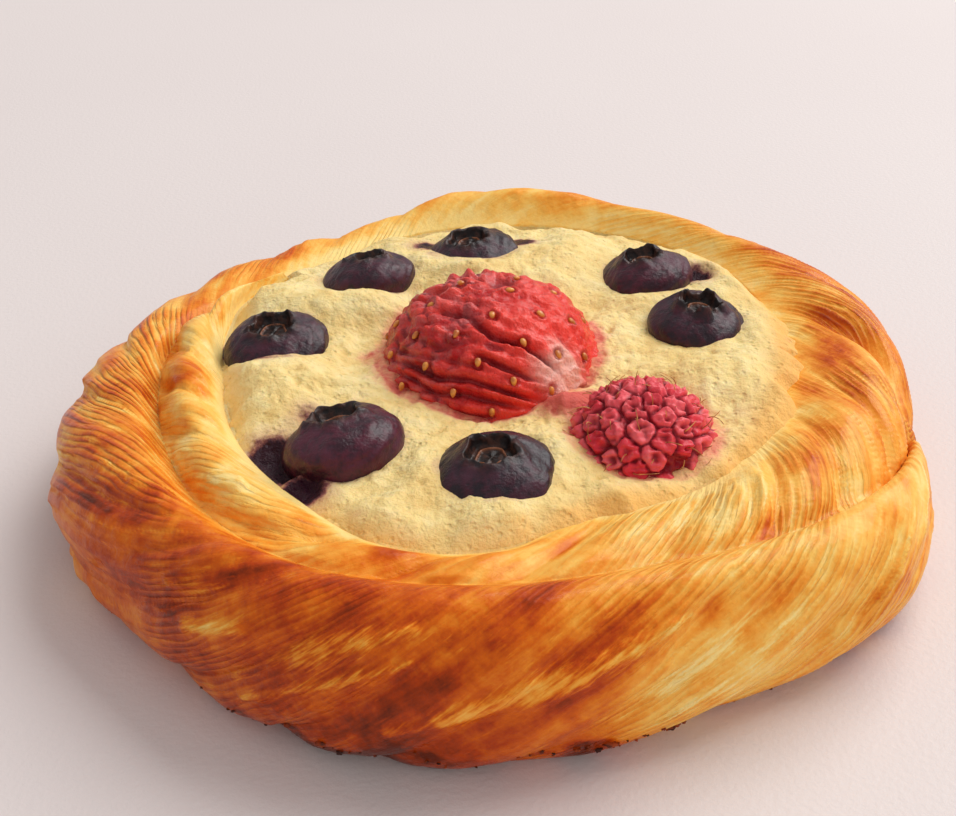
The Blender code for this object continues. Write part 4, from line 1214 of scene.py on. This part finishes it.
def seed_coat():
    finish = Finish("seed_coat", Coat_Weight=0.3, Coat_Roughness=0.2)
    place = finish.object_place()
    tone = finish.noise(place, 900.0, 3.0)
    colour = finish.blend(finish.between(tone, 0.35, 0.65), (0.50, 0.12, 0.015), (0.84, 0.33, 0.05))
    finish.feed(Base_Color=colour, Roughness=0.30 + (tone - 0.5) * 0.2, Normal=finish.bump(tone, 0.0002))
    return finish


seeds = make_seeds()
finish_piece(seeds, seed_coat(), "strawberry_skin")

# The raspberry
# One whole raspberry sunk in the cream: round drupelets, collapsed and wrinkled by the oven. One has
# come away and left a hollow. The gaps, edges, dimples and wrinkles of the drupelets and that hollow
# are darkened with painted shade.
RASPBERRY_TOP = 22.6 * MM
RASPBERRY_BASE = 9.0 * MM
RASPBERRY_MIDDLE = 14.4 * MM
# Height of the place that the drupelets point away from
RASPBERRY_HEART = RASPBERRY_MIDDLE - 1.0 * MM
CUT_SHARE = 0.12
DRUPELETS = 118
DRUPELET_SPREAD = 1.55
DRUPELET_ANGLE = 0.190
JITTER = 0.06
DRUPELET_RELIEF = 1.0 * MM
# Angles in radians at the heart: the gap between two drupelets and the dimple in the middle of each
DRUPELET_GAP = 0.07
DIMPLE_ANGLE = 0.075
DIMPLE_DEPTH = 0.75
DRUPELET_WARP = 0.035
DRUPELET_WRINKLES = 0.46 * MM
# The hollow that one drupelet has left: its direction, and its depth as a share of the relief
MISSING_DRUPELET = (0.28, -0.82, 0.48)
MISSING_DEPTH = 0.40
RASPBERRY_SIDES = 240
RASPBERRY_ROWS = 160


def drupelet_centres():
    number = np.arange(DRUPELETS)
    upward = 1.0 - DRUPELET_SPREAD * (number + 0.5) / DRUPELETS
    level = np.sqrt(1.0 - upward * upward)
    angle = number * GOLDEN_ANGLE
    centres = np.stack([level * np.cos(angle), level * np.sin(angle), upward], 1)
    centres += np.random.RandomState(70).uniform(-JITTER, JITTER, centres.shape)
    return centres / np.linalg.norm(centres, axis=1)[:, None]


def make_raspberry():
    fruit, share, angle = add_sphere("raspberry_flesh", RASPBERRY_SIDES, RASPBERRY_ROWS)
    core = RASPBERRY_RADIUS - DRUPELET_RELIEF
    top = RASPBERRY_TOP - DRUPELET_RELIEF
    cut_angle = math.acos((RASPBERRY_BASE - RASPBERRY_MIDDLE) / (top - RASPBERRY_MIDDLE))
    polar = cut_angle * (1.0 - share) / (1.0 - CUT_SHARE)
    on_cut = share <= CUT_SHARE
    reach = np.where(on_cut, math.sin(cut_angle) * share / CUT_SHARE, np.sin(polar))
    height = np.where(on_cut, RASPBERRY_BASE, RASPBERRY_MIDDLE + (top - RASPBERRY_MIDDLE) * np.cos(polar))
    points = np.stack([core * reach * np.cos(angle), core * reach * np.sin(angle), height], 1)
    outward = points - np.array((0.0, 0.0, RASPBERRY_HEART))
    outward /= np.linalg.norm(outward, axis=1)[:, None]
    x, y, z = (points / MM).T
    warp = np.stack([lattice_noise(x / 2.2 + axis * 17.0, y / 2.2 + z / 1.9 + 9.0, 74 + axis)
                     for axis in range(3)], 1)
    warped = outward + DRUPELET_WARP * warp
    warped /= np.linalg.norm(warped, axis=1)[:, None]
    centres = drupelet_centres()
    near = np.arccos(np.clip(warped @ centres.T, -1.0, 1.0))
    own = np.argmin(near, 1)
    nearest, second = np.partition(near, 1, axis=1)[:, :2].T
    draw = np.random.RandomState(71)
    upper = smoothstep(RASPBERRY_BASE + 1.0 * MM, RASPBERRY_BASE + 3.0 * MM, points[:, 2])
    edge = smoothstep(0.0, DRUPELET_GAP, second - nearest)
    spread = np.clip(nearest / DRUPELET_ANGLE, 0.0, 1.0)
    relief = np.sqrt(1.0 - spread ** 2) * (0.55 + 0.45 * edge)
    sag = draw.uniform(0.3, 1.0, DRUPELETS)[own]
    middle = np.exp(-((nearest / DIMPLE_ANGLE) ** 2))
    missing = int(np.argmax(centres @ np.array(MISSING_DRUPELET)))
    relief = np.where(own == missing, -MISSING_DEPTH * edge, relief - DIMPLE_DEPTH * sag * middle)
    wrinkle = 1.0 - 1.6 * np.abs(lattice_noise(x / 0.9 + own * 3.1, y / 0.9 + z / 0.8 + own, 72))
    wrinkle -= 0.4 * np.abs(lattice_noise(x / 0.5 + own, y / 0.5 + z / 0.45, 73))
    lift = upper * (0.95 * DRUPELET_RELIEF * relief + DRUPELET_WRINKLES * (wrinkle - 0.4))
    points = points + outward * lift[:, None]
    # Painted shade: darker in the gaps between drupelets, towards their edges, in the troughs of the
    # wrinkles, in their dimples and in the missing drupelet's hollow.
    crease = 0.7 * (1.0 - edge) + 0.5 * spread ** 3 + 0.5 * (0.3 - wrinkle) + 0.7 * sag * middle
    crease = np.clip(crease, 0.0, 1.0)
    crease = np.where(own == missing, 1.0, crease)
    place = np.array((*RASPBERRY_PLACE, 0.0)) * MM + PLAN_SHIFT
    move_points(fruit, points + place)
    write_values(fruit.data, crease=crease, tone=draw.uniform(0.0, 1.0, DRUPELETS)[own])
    tidy_mesh(fruit)
    return fruit


def raspberry_flesh():
    finish = Finish("raspberry_flesh", Coat_Weight=0.20, Coat_Roughness=0.15, Subsurface_Weight=0.15,
                    Subsurface_Radius=(0.002, 0.0003, 0.0004), Specular_IOR_Level=0.2)
    place = finish.object_place()
    mottle = finish.noise(place, 700.0, 5.0, 0.6)
    fine = finish.noise(place, 2600.0, 3.0, 0.6)
    tone = finish.attribute("tone")
    colour = finish.blend(tone, (0.72, 0.026, 0.050), (0.96, 0.150, 0.175))
    colour = finish.blend(finish.between(mottle, 0.50, 0.72) * 0.45, colour, (0.98, 0.25, 0.25))
    # Painted shade in the creases and the hollow.
    crease = finish.attribute("crease")
    colour = finish.blend(finish.between(crease, 0.16, 0.92) * 0.90, colour, (0.24, 0.004, 0.014))
    bumps = finish.bump(mottle * 0.6 + fine * 0.25, 0.0006, 0.8)
    finish.feed(Base_Color=colour, Roughness=0.34 + (mottle - 0.5) * 0.3, Normal=bumps)
    return finish


raspberry = make_raspberry()
finish_piece(raspberry, raspberry_flesh(), "raspberry_flesh", "raspberry")

# The raspberry's hairs
# The dried styles of the flower: a fine golden hair grows from the middle of each drupelet and curls
# over as it dries.
HAIR_RADIUS = 0.07 * MM
HAIR_LENGTHS = (1.3, 2.8)
HAIR_CURLS = (0.2, 1.5)
HAIR_SIDES = 5
HAIR_POINTS = 7
HAIR_DROOP = 0.45
HAIR_SWEEP = 0.7
HAIR_ROOT = 0.1 * MM
LOWEST_HAIR = -0.05


def hair_tube(bm, points):
    """A thin round hair through points, closed at both ends."""
    bearings = [2 * math.pi * corner / HAIR_SIDES for corner in range(HAIR_SIDES)]
    rings = []
    for number, point in enumerate(points):
        ahead = (points[min(number + 1, len(points) - 1)] - points[max(number - 1, 0)]).normalized()
        side = ahead.orthogonal().normalized()
        other = ahead.cross(side)
        size = HAIR_RADIUS * (1.0 - 0.5 * number / (len(points) - 1))
        rings.append([bm.verts.new(point + size * (math.cos(bearing) * side + math.sin(bearing) * other))
                      for bearing in bearings])
    for before, after in zip(rings, rings[1:]):
        for corner in range(HAIR_SIDES):
            following = (corner + 1) % HAIR_SIDES
            bm.faces.new((before[corner], before[following], after[following], after[corner]))
    bm.faces.new(rings[0][::-1])
    bm.faces.new(rings[-1])


def make_hairs():
    """One hair for each drupelet that stands clear of the cream, each with its own curl."""
    draw = np.random.RandomState(81)
    place = Vector(np.array((*RASPBERRY_PLACE, 0.0)) * MM + PLAN_SHIFT)
    heart = Vector((0.0, 0.0, RASPBERRY_HEART))
    bm = bmesh.new()
    for centre in drupelet_centres():
        if centre[2] < LOWEST_HAIR:
            continue
        outward = Vector(centre)
        sideways = outward.orthogonal().normalized()
        sideways.rotate(Matrix.Rotation(draw.uniform(0.0, 2.0 * math.pi), 3, outward))
        length = draw.uniform(*HAIR_LENGTHS) * MM
        curl = draw.uniform(*HAIR_CURLS)
        height = RASPBERRY_TOP - RASPBERRY_MIDDLE
        root = heart + outward * (height - HAIR_ROOT)
        root.x *= RASPBERRY_RADIUS / height
        root.y *= RASPBERRY_RADIUS / height
        points = []
        for number in range(HAIR_POINTS):
            share = number / (HAIR_POINTS - 1)
            bend = curl * share * share
            points.append(place + root + outward * length * (share - HAIR_DROOP * bend)
                          + sideways * length * HAIR_SWEEP * bend)
        hair_tube(bm, points)
    hairs = piece_from("raspberry_hairs", bm)
    tidy_mesh(hairs)
    return hairs


def dry_hair():
    finish = Finish("dry_hair", Roughness=0.45)
    tone = finish.noise(finish.object_place(), 500.0)
    colour = finish.blend(finish.between(tone, 0.4, 0.6), (0.40, 0.13, 0.03), (0.80, 0.42, 0.12))
    finish.feed(Base_Color=colour, Normal=finish.bump(tone, 0.0001))
    return finish


hairs = make_hairs()
finish_piece(hairs, dry_hair(), "raspberry_flesh")

# The studio
# A plain pale tabletop, a large soft light behind the pastry and to its right, and a weaker one at
# the front right, with the camera at the photograph's angle.
FLOOR_SIZE = 6.0
# Name, place, width and length in metres, power in watts and colour
SOFTBOXES = (("window_light", (0.95, 0.80, 1.30), (1.4, 1.4), 28.0, (1.0, 0.985, 0.97)),
             ("side_fill", (0.95, -1.05, 0.60), (1.2, 0.9), 4.4, (1.0, 0.98, 0.95)))
ROOM_COLOUR = (1.0, 0.97, 0.96, 1.0)
ROOM_STRENGTH = 0.48
CAMERA_PITCH = math.radians(31.2)
CAMERA_ROLL = math.radians(-1.73)
CAMERA_DISTANCE = 0.160
CAMERA_AIM = Vector((-1.4, -3.05, 12.0)) * MM
FOCAL_PIXELS = 1328.0
PHOTO_WIDTH = 956.0
SENSOR = 36.0


def pale_table():
    finish = Finish("pale_table", Roughness=0.55, Specular_IOR_Level=0.25)
    place = finish.object_place()
    soft = finish.noise(place, 9.0, 2.0)
    grit = finish.noise(place, 1400.0, 4.0)
    colour = finish.blend(soft, (0.74, 0.67, 0.66), (0.78, 0.715, 0.70))
    finish.feed(Base_Color=colour, Normal=finish.bump(grit, 0.0002, 0.35))
    return finish


def aim_at(thing, target):
    thing.rotation_euler = (target - thing.location).to_track_quat("-Z", "Y").to_euler()


def add_softbox(name, place, size, power, colour):
    bpy.ops.object.select_all(action="DESELECT")
    bpy.ops.object.light_add(type="AREA", location=place)
    light = bpy.context.active_object
    light.name = name
    light.data.shape = "RECTANGLE"
    light.data.size, light.data.size_y = size
    light.data.energy = power
    light.data.color = colour
    aim_at(light, Vector((0.0, 0.0, 10.0 * MM)))


bpy.ops.object.select_all(action="DESELECT")
bpy.ops.mesh.primitive_plane_add(size=FLOOR_SIZE)
floor = bpy.context.active_object
floor.name = "table_top"
floor.data.materials.append(pale_table().material)

for softbox in SOFTBOXES:
    add_softbox(*softbox)
bpy.data.objects["side_fill"].visible_glossy = False
world = bpy.data.worlds.new("studio")
world.use_nodes = True
world.node_tree.nodes["Background"].inputs["Color"].default_value = ROOM_COLOUR
world.node_tree.nodes["Background"].inputs["Strength"].default_value = ROOM_STRENGTH
bpy.context.scene.world = world
bpy.context.scene.view_settings.view_transform = "Standard"

camera_data = bpy.data.cameras.new("camera")
camera_data.lens = FOCAL_PIXELS / PHOTO_WIDTH * SENSOR
camera_data.sensor_width = SENSOR
camera = bpy.data.objects.new("camera", camera_data)
bpy.context.scene.collection.objects.link(camera)
back = Vector((0.0, -math.cos(CAMERA_PITCH), math.sin(CAMERA_PITCH)))
right = Vector((1.0, 0.0, 0.0))
up = back.cross(right)
turned_right = math.cos(CAMERA_ROLL) * right + math.sin(CAMERA_ROLL) * up
turned_up = -math.sin(CAMERA_ROLL) * right + math.cos(CAMERA_ROLL) * up
facing = Matrix((turned_right, turned_up, back)).transposed().to_4x4()
camera.matrix_world = Matrix.Translation(CAMERA_AIM + back * CAMERA_DISTANCE) @ facing
bpy.context.scene.camera = camera
